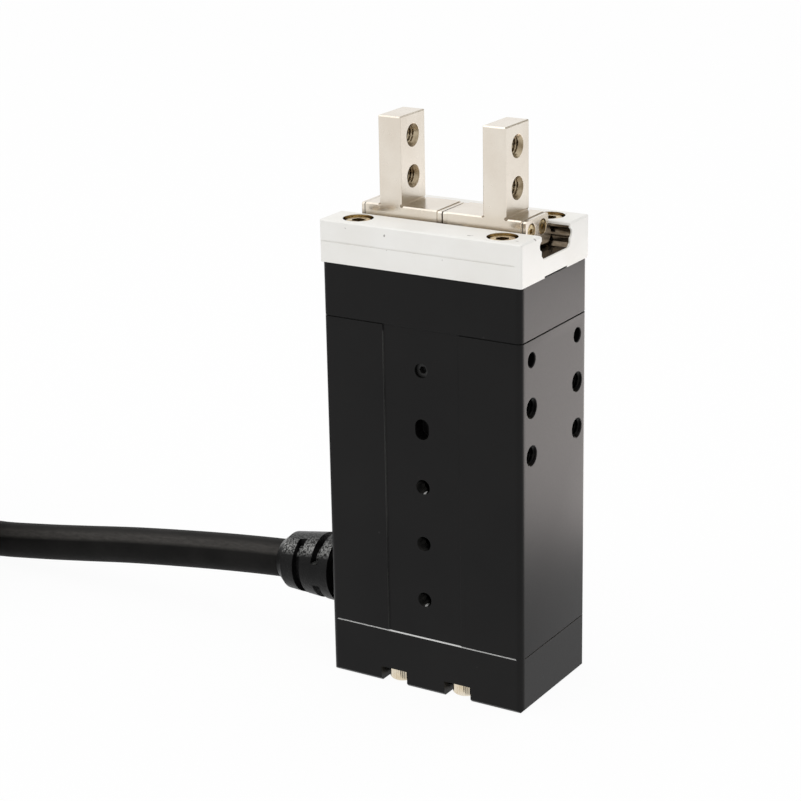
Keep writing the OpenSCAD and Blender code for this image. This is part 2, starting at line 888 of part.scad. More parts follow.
module planet_gear(i) {
    color("#cfc8b4")
        rotate([0, 0, i * 120])
            translate([planet_orbit, 0, z_planet])
                linear_extrude(planet_h)
                    difference() {
                        rotate([0, 0, 180 / planet_teeth])
                            gear_outline(planet_module, planet_teeth, stub * planet_module,
                                root_depth * planet_module, tooth_play);
                        circle(planet_pin_r + 0.05);
                    }
}

module planet_gear_1() {
    planet_gear(0);
}

module planet_gear_2() {
    planet_gear(1);
}

module planet_gear_3() {
    planet_gear(2);
}

// Ring with internal teeth, one of them centred on +X
module ring_gear() {
    color("#84878c")
        translate([0, 0, z_ring])
            linear_extrude(ring_h)
                difference() {
                    circle(motor_r);
                    rotate([0, 0, 180 / ring_teeth])
                        gear_outline(planet_module, ring_teeth, root_depth * planet_module,
                            stub * planet_module, -tooth_play);
                }
}

module planet_pin_places() {
    for (i = [0:2])
        rotate([0, 0, i * 120])
            translate([planet_orbit, 0, 0])
                children();
}

// Carrier disc and output shaft, turned as one piece
module planet_carrier() {
    journal_r = pinion_bearing[0] - fit;
    color("#a9acb1")
        difference() {
            union() {
                translate([0, 0, z_carrier])
                    cylinder(r = carrier_r, h = carrier_h);
                translate([0, 0, z_carrier])
                    cylinder(r = output_r, h = z_rack + pinion_h + 0.6 - z_carrier);
                translate([0, 0, z_carrier])
                    cylinder(r = journal_r,
                        h = z_pinion_bearing + pinion_bearing[2] - 0.1 - z_carrier);
                translate([0, 0, z_carrier + carrier_h - eps])
                    cylinder(r = output_r + 0.6, h = 1.2 + eps);
            }
            planet_pin_places()
                translate([0, 0, z_carrier - 1])
                    cylinder(r = planet_pin_r + fit, h = carrier_h + 2);
        }
}

module planet_pins() {
    color("#d5d6d8")
        planet_pin_places()
            translate([0, 0, z_planet - 0.2])
                cylinder(r = planet_pin_r, h = planet_h + 0.7 + carrier_h);
}

module gearhead_housing() {
    bore_r = output_bearing[1] + fit;
    color("#8f9297")
        difference() {
            translate([0, 0, z_output])
                cylinder(r = motor_r, h = gearhead_h);
            translate([0, 0, z_output - 1])
                cylinder(r = carrier_r + 0.8, h = z_carrier + carrier_h + 0.8 - z_output + 1);
            translate([0, 0, z_output])
                cylinder(r = bore_r, h = z_bearing_high + output_bearing[2] - z_output);
            translate([0, 0, z_output])
                cylinder(r = output_r + 1.1, h = gearhead_h + 1);
            gearhead_screw_places()
                translate([0, 0, z_web - 8])
                    cylinder(r = m2[0] + thread_gap, h = 9);
        }
}

module gearhead_screws() {
    color("#3a3a3c")
        gearhead_screw_places()
            translate([0, 0, z_gear - m2[2] - 0.2])
                socket_screw(m2, 8);
}

// Grub screw that holds the gearhead, in the highest front station
module gearhead_grub_screw() {
    face = body_d / 2 - recess_depth - 0.8;
    length = face - motor_r;
    color("#2c2c2e")
        translate([0, -motor_r, front_z[4]])
            rotate([90, 0, 0])
                difference() {
                    cylinder(r = m3[0], h = length);
                    translate([0, 0, length - 1.3])
                        cylinder(r = 0.87, h = 2, $fn = 6);
                }
}

module output_bearings() {
    color("#b9bcc0")
        for (z = [z_bearing_low, z_bearing_high])
            translate([0, 0, z])
                bearing(output_bearing);
}

module bearing_spacer() {
    low = z_bearing_low + output_bearing[2];
    color("#77797d")
        translate([0, 0, low])
            tube(output_bearing[1] - fit, output_bearing[1] - 1.2, z_bearing_high - low);
}

// ---- Pinion and racks ----

module drive_pinion() {
    color("#c4bda8")
        translate([0, 0, z_rack])
            linear_extrude(pinion_h)
                difference() {
                    rotate([0, 0, 90])
                        gear_outline(rack_module, pinion_teeth, stub * rack_module,
                            root_depth * rack_module, tooth_play);
                    circle(output_r + fit);
                }
}

module pinion_bearing() {
    color("#b9bcc0")
        translate([0, 0, z_pinion_bearing])
            bearing(pinion_bearing);
}

// Rack in front of the pinion, with the foot and tongue that carry the finger
module rack() {
    foot_from = tongue_x - tongue_l / 2;
    foot_top = z_guide - 0.9;
    rack_end = foot_from + tongue_l;
    color("#b5b0a0")
        difference() {
            union() {
                translate([0, 0, z_rack])
                    linear_extrude(pinion_h) {
                        translate([-rack_lead, -rack_back_y])
                            square([rack_lead + rack_end, rack_back_y - rack_root_y]);
                        rack_teeth(-rack_lead, foot_from - 1);
                    }
                translate([foot_from, -rack_back_y, z_rack])
                    cube([tongue_l, rack_back_y + tongue_w / 2, foot_top - z_rack]);
                translate([foot_from, -tongue_w / 2, z_rack])
                    cube([tongue_l, tongue_w, z_foot + tongue_sink - z_rack]);
            }
            translate([tongue_x, 0, z_rack - 1]) {
                cylinder(r = m25[0] + screw_gap, h = z_foot - z_rack + 3);
                cylinder(r = m25[1] + screw_gap, h = m25[2] + 2);
            }
        }
}

module rack_right() {
    rack();
}

module rack_left() {
    on_left()
        rack();
}

module rack_screw() {
    color("#8a8c90")
        translate([tongue_x, 0, z_rack + m25[2] + 1])
            rotate([180, 0, 0])
                socket_screw(m25, rack_screw_l);
}

module rack_screw_right() {
    rack_screw();
}

module rack_screw_left() {
    on_left()
        rack_screw();
}

// ---- Fingers ----

// Section of a finger's base as seen along X, from the foot up to the top face
module base_profile() {
    round_r = 0.8;
    low = z_foot + round_r;
    high = z_top - 1.1;
    half = finger_w / 2;
    edge = 0.25;
    polygon([
        [-half, high], [half, high], [half, z_base - edge], [half - edge, z_base],
        [edge - half, z_base], [-half, z_base - edge]
    ]);
    translate([-flank_y, low])
        square([2 * flank_y, high - low]);
    translate([round_r - flank_y, z_foot])
        square([2 * (flank_y - round_r), high + round_r - z_foot]);
    for (s = [-1, 1], z = [low, high])
        translate([s * (flank_y - round_r), z])
            circle(round_r);
}

module finger() {
    relief_r = 0.35;
    post_mid = post_x + post_t / 2;
    screw_top = z_rack + m25[2] + 1 + rack_screw_l;
    color("#d8cfc0")
        difference() {
            union() {
                translate([finger_in, 0, 0])
                    rotate([90, 0, 90])
                        linear_extrude(base_l)
                            base_profile();
                translate([post_mid, 0, z_base - 1])
                    chamfer_box(post_t, finger_w, post_h + 1, 0.25);
            }
            // ball grooves
            for (s = [-1, 1])
                translate([finger_in - 1, s * ball_y, ball_z])
                    along_x()
                        cylinder(r = groove_r, h = base_l + 2);
            // undercuts at the foot of the post
            for (x = [post_x, post_x + post_t])
                translate([x, finger_w, z_base])
                    rotate([90, 0, 0])
                        cylinder(r = relief_r, h = 2 * finger_w);
            // tapped holes through the post
            for (i = [0, 1]) {
                translate([post_x + post_t, 0, z_post - finger_drop - i * finger_pitch])
                    along_x()
                        mouth_hole(finger_hole_r, finger_mouth_r, post_t + 1);
                translate([post_x, 0, z_post - finger_drop - i * finger_pitch])
                    rotate([0, -90, 0])
                        mouth_hole(finger_hole_r, finger_mouth_r, 1);
            }
            // seat and tapped hole for the rack's tongue
            translate([tongue_x - tongue_l / 2 - fit, -tongue_w / 2 - fit, z_foot - 1])
                cube([tongue_l + 2 * fit, tongue_w + 2 * fit, 1 + tongue_sink]);
            translate([tongue_x, 0, z_foot])
                cylinder(r = m25[0] + thread_gap, h = screw_top + 0.3 - z_foot);
            // tapped holes for the end cap screws
            for (s = [-1, 1])
                translate([finger_in - 1, s * end_screw_pitch / 2, z_end_screw])
                    along_x() {
                        cylinder(r = m16[0] + thread_gap, h = 5.5);
                        translate([0, 0, base_l + 1 - 4.5])
                            cylinder(r = m16[0] + thread_gap, h = 5.5);
                    }
        }
}

module finger_right() {
    finger();
}

module finger_left() {
    on_left()
        finger();
}

// Plate on the outer end of a base, its inner face on x = 0
module end_cap() {
    head_depth = m16[2] + 0.1;
    half = finger_w / 2 - 0.2;
    edge = 0.3;
    difference() {
        rotate([90, 0, 90])
            linear_extrude(end_cap_t) {
                polygon([
                    [-half, ball_z], [half, ball_z], [half, z_base - 0.15 - edge],
                    [half - edge, z_base - 0.15], [edge - half, z_base - 0.15],
                    [-half, z_base - 0.15 - edge]
                ]);
                translate([-cap_lobe_y, ball_z - 0.3 - cap_lobe_r])
                    square([2 * cap_lobe_y, cap_lobe_r + 0.6]);
                for (s = [-1, 1])
                    translate([s * cap_lobe_y, ball_z - 0.3])
                        circle(cap_lobe_r);
            }
        for (s = [-1, 1])
            translate([end_cap_t, s * end_screw_pitch / 2, z_end_screw])
                along_x() {
                    translate([0, 0, -head_depth])
                        cylinder(r = m16[1] + screw_gap, h = head_depth + 1);
                    translate([0, 0, -end_cap_t - 1])
                        cylinder(r = m16[0] + screw_gap, h = end_cap_t + 2);
                }
    }
}

module end_caps() {
    color("#d2c9b8") {
        translate([finger_out, 0, 0])
            end_cap();
        translate([finger_in, 0, 0])
            mirror([1, 0, 0])
                end_cap();
    }
}

module end_caps_right() {
    end_caps();
}

module end_caps_left() {
    on_left()
        end_caps();
}

module end_screws() {
    seat = end_cap_t - m16[2] - 0.1;
    color("#b7a98c")
        for (s = [-1, 1]) {
            translate([finger_out + seat, s * end_screw_pitch / 2, z_end_screw])
                along_x()
                    socket_screw(m16, 4);
            translate([finger_in - seat, s * end_screw_pitch / 2, z_end_screw])
                rotate([0, -90, 0])
                    socket_screw(m16, 4);
        }
}

module end_screws_right() {
    end_screws();
}

module end_screws_left() {
    on_left()
        end_screws();
}

// Two rows of balls beside a base
module ball_places() {
    for (s = [-1, 1], i = [0:ball_count - 1])
        translate([cage_x + (i - (ball_count - 1) / 2) * ball_pitch, s * ball_y, ball_z])
            children();
}

module ball_cages() {
    mid = (flank_y + channel_w / 2) / 2;
    color("#8f7f4f")
        difference() {
            for (s = [-1, 1])
                translate([cage_x - cage_l / 2, s * mid - cage_t / 2, ball_z - cage_h / 2])
                    cube([cage_l, cage_t, cage_h]);
            ball_places()
                rotate([90, 0, 0])
                    cylinder(r = groove_r, h = 2, center = true);
        }
}

module ball_cages_right() {
    ball_cages();
}

module ball_cages_left() {
    on_left()
        ball_cages();
}

module balls() {
    color("#cfd2d6")
        ball_places()
            sphere(ball_r);
}

module balls_right() {
    balls();
}

module balls_left() {
    on_left()
        balls();
}

// ---- Electronics ----

module driver_board() {
    color("#1f5a34")
        translate([driver_x, -pocket_y + 0.2, z_body + 2.4])
            cube([driver_t, 2 * pocket_y - 0.4, z_pocket - z_body - 3.4]);
}

// Part on the outer face of the driver board, its centre at y and z
module board_part(size, y, z) {
    translate([driver_x - size[0], y - size[1] / 2, z - size[2] / 2])
        cube(size);
}

module board_parts() {
    color("#2b2b2e") {
        // header for the cable's cores
        board_part(header, 0, z_header + header[2] / 2);
        // controller and the three half bridges
        board_part(controller, 0, z_controller);
        for (i = [-1:1])
            board_part(bridge, i * bridge_pitch, z_bridge);
        for (s = [-1, 1])
            translate([driver_x, s * capacitor_y, z_capacitor])
                rotate([0, -90, 0])
                    cylinder(r = capacitor_r, h = capacitor_l);
    }
}

// Round rod between two points
module rod(a, b, r) {
    d = b - a;
    translate(a)
        rotate([0, acos(d[2] / norm(d)), atan2(d[1], d[0])])
            cylinder(r = r, h = norm(d));
}

// Wires from the end of the cable to the header, straight at both ends
module cable_cores() {
    r = 0.5;
    lead = 0.8;
    color("#b03a2e")
        for (i = [-2:2]) {
            start = [cable_end_x, i * 1.2, cable_z];
            low_knee = start + [lead, 0, 0];
            finish = [driver_x - header[0] / 2, i * 1.6, z_header];
            high_knee = finish - [0, 0, lead];
            rod(start, low_knee, r);
            rod(low_knee, high_knee, r);
            rod(high_knee, finish, r);
            for (knee = [low_knee, high_knee])
                translate(knee)
                    sphere(r);
        }
}

// ---- Cable ----

// Half slots across the strain relief, every other pair turned a quarter turn
module boot_slots() {
    slot = 2;
    bridge = 5;
    starts = [2, 6.6, 11.7];
    for (i = [0:len(starts) - 1])
        translate([0, 0, starts[i]])
            rotate([0, 0, i % 2 * 90])
                difference() {
                    tube(boot_root_r + 1, cable_r + 0.95, slot);
                    translate([-boot_root_r - 2, -bridge / 2, -1])
                        cube([2 * boot_root_r + 4, bridge, slot + 2]);
                }
}

// Tapered part of the strain relief, along +Z
module boot_taper() {
    rotate_extrude()
        polygon([
            [0, 0], [boot_root_r, 0], [boot_tip_r, boot_l], [cable_r + 0.4, boot_l + 2.2],
            [0, boot_l + 2.2]
        ]);
}

module strain_relief() {
    bore_r = cable_r + screw_gap;
    inside = side_wall + collar_t;
    color("#161616")
        difference() {
            union() {
                // neck and snap collar in the wall, and the flange outside
                translate([boot_x, 0, cable_z])
                    along_x() {
                        cylinder(r = boot_neck_r, h = inside);
                        translate([0, 0, side_wall])
                            cylinder(r = boot_neck_r + 0.6, h = collar_t);
                        translate([0, 0, -boot_flange_t])
                            cylinder(r = boot_root_r + 0.2, h = boot_flange_t);
                    }
                translate(boot_pivot)
                    rotate([0, -90 - boot_droop, 0])
                        difference() {
                            boot_taper();
                            boot_slots();
                        }
            }
            // straight bore, a wider room where the cable bends, and the drooping bore
            translate([boot_pivot[0], 0, cable_z])
                along_x()
                    cylinder(r = bore_r, h = inside + boot_x - boot_pivot[0] + 1);
            translate([boot_pivot[0] - 1.5, 0, cable_z])
                along_x()
                    cylinder(r = bore_r + 0.4, h = 2.6);
            translate(boot_pivot)
                rotate([0, -90 - boot_droop, 0])
                    cylinder(r = bore_r, h = boot_l + 5);
        }
}

// Direction of a route at point i
function heading(route, i) =
    let (a = route[max(i - 1, 0)], b = route[min(i + 1, len(route) - 1)])
    (b - a) / norm(b - a);

// Ring of points across a route at point i
function ring(route, i, r, sides) =
    let (along = heading(route, i), across = cross(along, [0, 0, 1]) / norm(cross(along, [0, 0, 1])),
        up = cross(across, along))
    [for (k = [0:sides - 1]) route[i] + r * (cos(k * 360 / sides) * across + sin(k * 360 / sides) * up)];

// Solid tube swept along a route
module swept_tube(route, r, sides) {
    last = len(route) - 1;
    points = [for (i = [0:last], p = ring(route, i, r, sides)) p];
    walls = [for (i = [0:last - 1], k = [0:sides - 1])
        [i * sides + k, i * sides + (k + 1) % sides, (i + 1) * sides + (k + 1) % sides,
            (i + 1) * sides + k]];
    ends = [[for (k = [sides - 1:-1:0]) k], [for (k = [0:sides - 1]) last * sides + k]];
    polyhedron(points = points, faces = concat(walls, ends));
}

module cable() {
    color("#141414") {
        swept_tube(cable_route, cable_r, cable_sides);
        swept_tube(tail_route, cable_r, cable_sides);
    }
}

// Outer shape of the coiled cable, one turn wide
module cable_coil() {
    color("#141414")
        translate(coil_centre)
            rotate_extrude($fn = 96)
                for (i = [0:coil_layers - 1])
                    translate([coil_r, cable_r * (2 * i + 1)]) {
                        circle(cable_r);
                        if (i > 0)
                            translate([0, -cable_r])
                                square([1.6 * cable_r, cable_r], center = true);
                    }
}

// Places a shape drawn along +Z so that it starts at the end of the tail and points along -Y
module at_plug() {
    translate(plug_at)
        rotate([90, 0, 0])
            children();
}

module plug_body() {
    grips = 5;
    cone_l = plug_body_l * 0.4;
    r = plug_nut_r - 1;
    color("#1b1b1d")
        at_plug()
            difference() {
                rotate_extrude()
                    polygon([
                        [0, 0], [cable_r + 0.6, 0], [r, cone_l], [r, plug_body_l],
                        [plug_spigot_r, plug_body_l], [plug_spigot_r, plug_body_l + plug_spigot_l],
                        [0, plug_body_l + plug_spigot_l]
                    ]);
                for (i = [0:grips - 1])
                    translate([0, 0, plug_body_l * (0.45 + 0.09 * i)])
                        tube(r + 1, r - 0.5, plug_body_l * 0.045);
            }
}

// Coupling nut, free to turn on the plug's spigot
module plug_nut() {
    wall = 1.3;
    web = plug_spigot_l - 0.5;
    color("#b8babd")
        at_plug()
            translate([0, 0, plug_body_l + 0.15])
                difference() {
                    cylinder(r = plug_nut_r, h = plug_nut_l);
                    translate([0, 0, -1])
                        cylinder(r = plug_spigot_r + 0.08, h = web + 2);
                    translate([0, 0, web])
                        cylinder(r = plug_nut_r - wall, h = plug_nut_l);
                }
}

module plug_insert() {
    r = plug_nut_r - 2.4;
    pins = 5;
    face = plug_nut_l - 8;
    color("#2a2a2c")
        at_plug()
            translate([0, 0, plug_body_l + plug_spigot_l]) {
                cylinder(r = plug_nut_r - 1.6, h = 1);
                cylinder(r = r, h = face);
                for (i = [0:pins - 1])
                    rotate([0, 0, i * 360 / pins])
                        translate([r * 0.55, 0, face - eps])
                            cylinder(r = 0.5, h = 4);
            }
}

bottom_cap();
cap_screws();
main_body();
gear_housing();
guide_block();
guide_screws();
motor_can();
rear_bell();
stator_core();
windings();
motor_bearings();
motor_shaft();
rotor_magnet();
encoder_magnet();
encoder_board();
sun_gear();
planet_gear_1();
planet_gear_2();
planet_gear_3();
ring_gear();
planet_carrier();
planet_pins();
gearhead_housing();
gearhead_screws();
gearhead_grub_screw();
output_bearings();
bearing_spacer();
drive_pinion();
pinion_bearing();
rack_right();
rack_left();
rack_screw_right();
rack_screw_left();
finger_right();
finger_left();
end_caps_right();
end_caps_left();
end_screws_right();
end_screws_left();
ball_cages_right();
ball_cages_left();
balls_right();
balls_left();
driver_board();
board_parts();
cable_cores();
strain_relief();
cable();
cable_coil();
plug_body();
plug_nut();
plug_insert();
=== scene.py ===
import json
import math
import bpy
import bmesh
from mathutils import Matrix, Vector


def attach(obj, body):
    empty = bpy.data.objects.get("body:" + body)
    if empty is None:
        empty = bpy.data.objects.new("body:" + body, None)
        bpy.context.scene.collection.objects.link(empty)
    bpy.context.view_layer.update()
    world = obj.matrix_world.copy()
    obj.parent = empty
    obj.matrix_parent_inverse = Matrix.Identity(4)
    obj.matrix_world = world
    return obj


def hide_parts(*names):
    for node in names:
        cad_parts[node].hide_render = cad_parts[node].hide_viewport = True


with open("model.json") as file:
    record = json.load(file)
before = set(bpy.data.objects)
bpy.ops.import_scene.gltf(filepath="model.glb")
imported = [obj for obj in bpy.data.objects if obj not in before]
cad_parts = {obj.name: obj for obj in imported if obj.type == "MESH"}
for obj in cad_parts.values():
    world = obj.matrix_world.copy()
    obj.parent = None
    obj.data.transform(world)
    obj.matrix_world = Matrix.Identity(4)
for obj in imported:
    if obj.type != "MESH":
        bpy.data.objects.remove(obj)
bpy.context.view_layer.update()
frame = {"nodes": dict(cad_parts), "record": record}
print("frame loaded:", len(frame["nodes"]), "nodes")
mm = 0.001    # sizes of the pieces are in millimetres, places in a finish or the studio in metres


# Small tools for objects, meshes and nodes
def linkObject(name, data):
    thing = bpy.data.objects.new(name, data)
    bpy.context.scene.collection.objects.link(thing)
    return thing


def addObject(name, mesh, material=None):
    piece = linkObject(name, mesh)
    if mesh.materials:
        mesh.materials.clear()
    if material:
        mesh.materials.append(material)
    return piece


def meshFrom(name, points, faces, smooth=True):
    mesh = bpy.data.meshes.new(name)
    mesh.from_pydata([tuple(p) for p in points], [], faces)
    mesh.polygons.foreach_set("use_smooth", [smooth] * len(mesh.polygons))
    mesh.update()
    return mesh


# Edges that turn by less than the angle in degrees are shaded soft
def softenEdges(shape, angle):
    for edge in shape.edges:
        edge.smooth = edge.calc_face_angle(0) < math.radians(angle)


def faceOutwards(mesh, softAngle=None):
    shape = bmesh.new()
    shape.from_mesh(mesh)
    bmesh.ops.recalc_face_normals(shape, faces=shape.faces)
    if softAngle:
        softenEdges(shape, softAngle)
    shape.to_mesh(mesh)
    shape.free()


def addNode(tree, kind, links=None, **settings):
    node = tree.nodes.new(kind)
    for name, value in settings.items():
        setattr(node, name, value)
    for socket, value in (links or {}).items():
        if isinstance(value, bpy.types.NodeSocket):
            tree.links.new(value, node.inputs[socket])
        else:
            node.inputs[socket].default_value = value
    return node


def nodeOutput(tree, kind, links=None, **settings):
    return addNode(tree, kind, links, **settings).outputs[0]


def nodeMath(tree, operation, *values):
    return nodeOutput(tree, "ShaderNodeMath", dict(enumerate(values)), operation=operation)


def emptyMaterial(name):
    material = bpy.data.materials.new(name)
    material.use_nodes = True
    material.node_tree.nodes.clear()
    return material, material.node_tree


cameraSettings = {
    "azimuth": 31.809, "elevation": 18.369, "roll": -1.108,    # degrees
    "distance": 0.47183, "aim": (0, 0, 0.048),
    "offset": (-0.0117, 0.01163),    # across and up from the line through the aim
    "lens": 101.73, "sensor": 36, "clip": (0.01, 20),
}


def makeCamera(settings):
    turn, lift, roll = (math.radians(settings[k]) for k in ("azimuth", "elevation", "roll"))
    back = Vector((math.sin(turn) * math.cos(lift), -math.cos(turn) * math.cos(lift), math.sin(lift)))
    side = Vector((0, 0, 1)).cross(back).normalized()
    up = back.cross(side)
    across = side * math.cos(roll) + up * math.sin(roll)
    upward = up * math.cos(roll) - side * math.sin(roll)
    shift, raised = settings["offset"]
    place = Vector(settings["aim"]) + back * settings["distance"] + across * shift + upward * raised
    data = bpy.data.cameras.new("camera")
    data.lens = settings["lens"]
    data.sensor_width = settings["sensor"]
    data.clip_start, data.clip_end = settings["clip"]
    camera = linkObject("camera", data)
    turned = Matrix((across, upward, back)).transposed().to_4x4()
    camera.matrix_world = Matrix.Translation(place) @ turned
    bpy.context.scene.camera = camera


makeCamera(cameraSettings)
bpy.context.scene.view_settings.view_transform = "Standard"
print("camera ready")


studio = {
    # metres, and radiance where 1 is white
    "floor": 40, "floorColour": (0.9, 0.9, 0.9), "floorWhite": 0.95, "ambient": 0.82,
    "panels": [
        # name, place, aim, width, height, radiance
        ("topPanel", (-0.1, -0.1, 1.1), (0, 0, 0.05), 0.9, 0.9, 1.0),
        ("frontPanel", (-0.55, -0.95, 0.75), (0, 0, 0.05), 0.6, 0.6, 1.1),
    ],
    "cards": [    # glowing sheets that only shiny surfaces show: low_card a bright reflection that gives the housing's right side its sheen, dark_card a painted dark reflection at the feet of the fingers
        # name, place, aim, width, height, radiance
        ("low_card", (0.066, 0.070, 0.0365), (0.023, 0, 0.0365), 0.14, 0.071, (3.95, 3.7, 3.6)),
        ("dark_card", (0.33, 0.53, 0.33), (0, 0, 0.1), 0.5, 0.34, (0.27, 0.24, 0.18)),
    ],
}


# 1 for rays that look at the background, straight on or by way of metal and glass
def backgroundRays(tree):
    path = addNode(tree, "ShaderNodeLightPath")
    seen = path.outputs["Is Camera Ray"]
    for kind in ("Is Glossy Ray", "Is Transmission Ray"):
        seen = nodeMath(tree, "MAXIMUM", seen, path.outputs[kind])
    return seen


def turnTowards(place, aim):
    return (Vector(aim) - Vector(place)).to_track_quat("-Z", "Y")


def panelMesh(name, place, aim, width, height):
    turn = turnTowards(place, aim).to_matrix()
    corners = [(-width, -height), (width, -height), (width, height), (-width, height)]
    points = [Vector(place) + turn @ Vector((x / 2, y / 2, 0)) for x, y in corners]
    return meshFrom(name, points, [(0, 1, 2, 3)], smooth=False)


def makeFloor(settings):
    half = settings["floor"] / 2
    corners = [(-half, -half, 0), (half, -half, 0), (half, half, 0), (-half, half, 0)]
    paper, tree = emptyMaterial("pale_floor")
    matt = nodeOutput(tree, "ShaderNodeBsdfDiffuse", {"Color": (*settings["floorColour"], 1)})
    white = nodeOutput(tree, "ShaderNodeEmission", {"Color": (1, 1, 1, 1), "Strength": 1})
    share = nodeMath(tree, "MULTIPLY", backgroundRays(tree), settings["floorWhite"])
    mixed = nodeOutput(tree, "ShaderNodeMixShader", {0: share, 1: matt, 2: white})
    addNode(tree, "ShaderNodeOutputMaterial", {"Surface": mixed})
    addObject("floor", meshFrom("floor", corners, [(0, 1, 2, 3)], smooth=False), paper)


def makeCards(cards):
    for name, place, aim, width, height, radiance in cards:
        material, tree = emptyMaterial(name)
        glow = nodeOutput(tree, "ShaderNodeEmission", {"Color": (*radiance, 1), "Strength": 1})
        addNode(tree, "ShaderNodeOutputMaterial", {"Surface": glow})
        card = addObject(name, panelMesh(name, place, aim, width, height), material)
        card.visible_camera = card.visible_diffuse = card.visible_shadow = False


def makeLights(settings):
    world = bpy.data.worlds.new("studio")
    world.use_nodes = True
    bpy.context.scene.world = world
    tree = world.node_tree
    tree.nodes.clear()
    levels = {"Value": backgroundRays(tree), "To Min": settings["ambient"], "To Max": 1}
    strength = nodeOutput(tree, "ShaderNodeMapRange", levels)
    sky = nodeOutput(tree, "ShaderNodeBackground", {"Color": (1, 1, 1, 1), "Strength": strength})
    addNode(tree, "ShaderNodeOutputWorld", {"Surface": sky})
    for name, place, aim, width, height, radiance in settings["panels"]:
        data = bpy.data.lights.new(name, "AREA")
        data.shape = "RECTANGLE"
        data.size, data.size_y = width, height
        data.energy = radiance * math.pi * width * height
        lamp = linkObject(name, data)
        lamp.location = place
        lamp.rotation_mode = "QUATERNION"
        lamp.rotation_quaternion = turnTowards(place, aim)


makeFloor(studio)
makeCards(studio["cards"])
makeLights(studio)
print("studio ready")


def mixColour(tree, factor, low, high):
    links = {0: factor}
    for index, value in ((6, low), (7, high)):
        links[index] = value if isinstance(value, bpy.types.NodeSocket) else (*value, 1)
    return addNode(tree, "ShaderNodeMix", links, data_type="RGBA").outputs[2]


def spreadOut(tree, value, fromLow, fromHigh, toLow=0, toHigh=1):
    return nodeOutput(tree, "ShaderNodeMapRange", {
        "Value": value, "From Min": fromLow, "From Max": fromHigh, "To Min": toLow, "To Max": toHigh})


def vectorMath(tree, operation, *values):
    return nodeOutput(tree, "ShaderNodeVectorMath", dict(enumerate(values)), operation=operation)


# 1 inside a box given by its middle and half size, or in its four mirrored copies
def boxMask(tree, place, zone):
    if zone.get("mirrored"):
        place = vectorMath(tree, "ABSOLUTE", place)
    away = vectorMath(tree, "ABSOLUTE", vectorMath(tree, "SUBTRACT", place, zone["middle"]))
    axes = addNode(tree, "ShaderNodeSeparateXYZ", {0: away}).outputs
    x, y, z = (nodeMath(tree, "LESS_THAN", axis, half) for axis, half in zip(axes, zone["half"]))
    return nodeMath(tree, "MULTIPLY", nodeMath(tree, "MULTIPLY", x, y), z)


noiseForms = {"grain": {"Detail": 3, "Roughness": 0.6}, "patches": {"Detail": 4}, "speck": {"Detail": 1}}
finishLimits = {
    # the part of a noise's range over which one look goes over into the other
    "patches": (0.35, 0.65), "rough": (0.25, 0.75), "zone": (0.3, 0.7), "speck": 0.02,
    "levelSheen": 0.25,    # share of the painted sheen that is left on a level face
    "edgeSamples": 4,
}


def makeFinish(name, look):
    material = bpy.data.materials.new(name)
    material.use_nodes = True
    tree = material.node_tree
    shader = tree.nodes["Principled BSDF"]
    sockets, zones, limits = look.get("sockets", {}), look.get("zones", []), finishLimits
    coordinates = addNode(tree, "ShaderNodeTexCoord").outputs
    place = coordinates["Object"]
    stretch = look.get("stretch", (1, 1, 1))
    stretched = nodeOutput(tree, "ShaderNodeMapping", {"Vector": place, "Scale": stretch})

    def noise(kind, vector, scale):
        form = {"Vector": vector, "Scale": scale, **noiseForms[kind]}
        return nodeOutput(tree, "ShaderNodeTexNoise", form)

    grain = noise("grain", stretched, look["grain"])
    patches = noise("patches", place, look["patches"])
    colour = mixColour(tree, spreadOut(tree, patches, *limits["patches"]), look["colour"], look["tint"])
    if "speck" in look:    # pits or dust: size, share kept clear, colour
        size, clear, speckColour = look["speck"]
        dots = spreadOut(tree, noise("speck", place, size), clear, clear + limits["speck"])
        colour = mixColour(tree, dots, colour, speckColour)
    if "paintedSheen" in look:    # painted sheen: a pale bloom on faces that look up, thinner on level ones, standing in for the highlight of the light from above
        paintedSheen = look["paintedSheen"]
        slope = addNode(tree, "ShaderNodeSeparateXYZ", {0: coordinates["Normal"]}).outputs[2]
        level = spreadOut(tree, slope, *paintedSheen["level"], 1, limits["levelSheen"])
        share = nodeMath(tree, "MULTIPLY", spreadOut(tree, slope, *paintedSheen["slope"]), level)
        share = nodeMath(tree, "MULTIPLY", share, spreadOut(tree, grain, *paintedSheen["grain"]))
        colour = mixColour(tree, share, colour, paintedSheen["colour"])
    rough = spreadOut(tree, grain, *limits["rough"], *look["rough"])
    metallic = sockets.get("Metallic", 0)
    for zone in zones:    # boxes of the piece with a look of their own: real finishes, and also painted highlights and painted shade
        inside = boxMask(tree, place, zone)
        if "patchy" in zone:
            inside = nodeMath(tree, "MULTIPLY", inside, spreadOut(tree, patches, *zone["patchy"]))
        bare = mixColour(tree, spreadOut(tree, grain, *limits["zone"]), zone["colour"], zone["tint"])
        colour = mixColour(tree, inside, colour, bare)
        rough = spreadOut(tree, inside, 0, 1, rough, zone["rough"])
        metallic = spreadOut(tree, inside, 0, 1, metallic, zone["metallic"])
    bumpLinks = {"Height": grain, "Strength": 1, "Distance": look["bump"]}
    if "edge" in look:
        bumpLinks["Normal"] = nodeOutput(tree, "ShaderNodeBevel", {"Radius": look["edge"]},
                                         samples=limits["edgeSamples"])
    bump = nodeOutput(tree, "ShaderNodeBump", bumpLinks)
    links = {"Base Color": colour, "Roughness": rough, "Normal": bump}
    if zones:
        links["Metallic"] = metallic
    for socket, value in links.items():
        tree.links.new(value, shader.inputs[socket])
    for socket, value in sockets.items():
        shader.inputs[socket].default_value = value
    return material
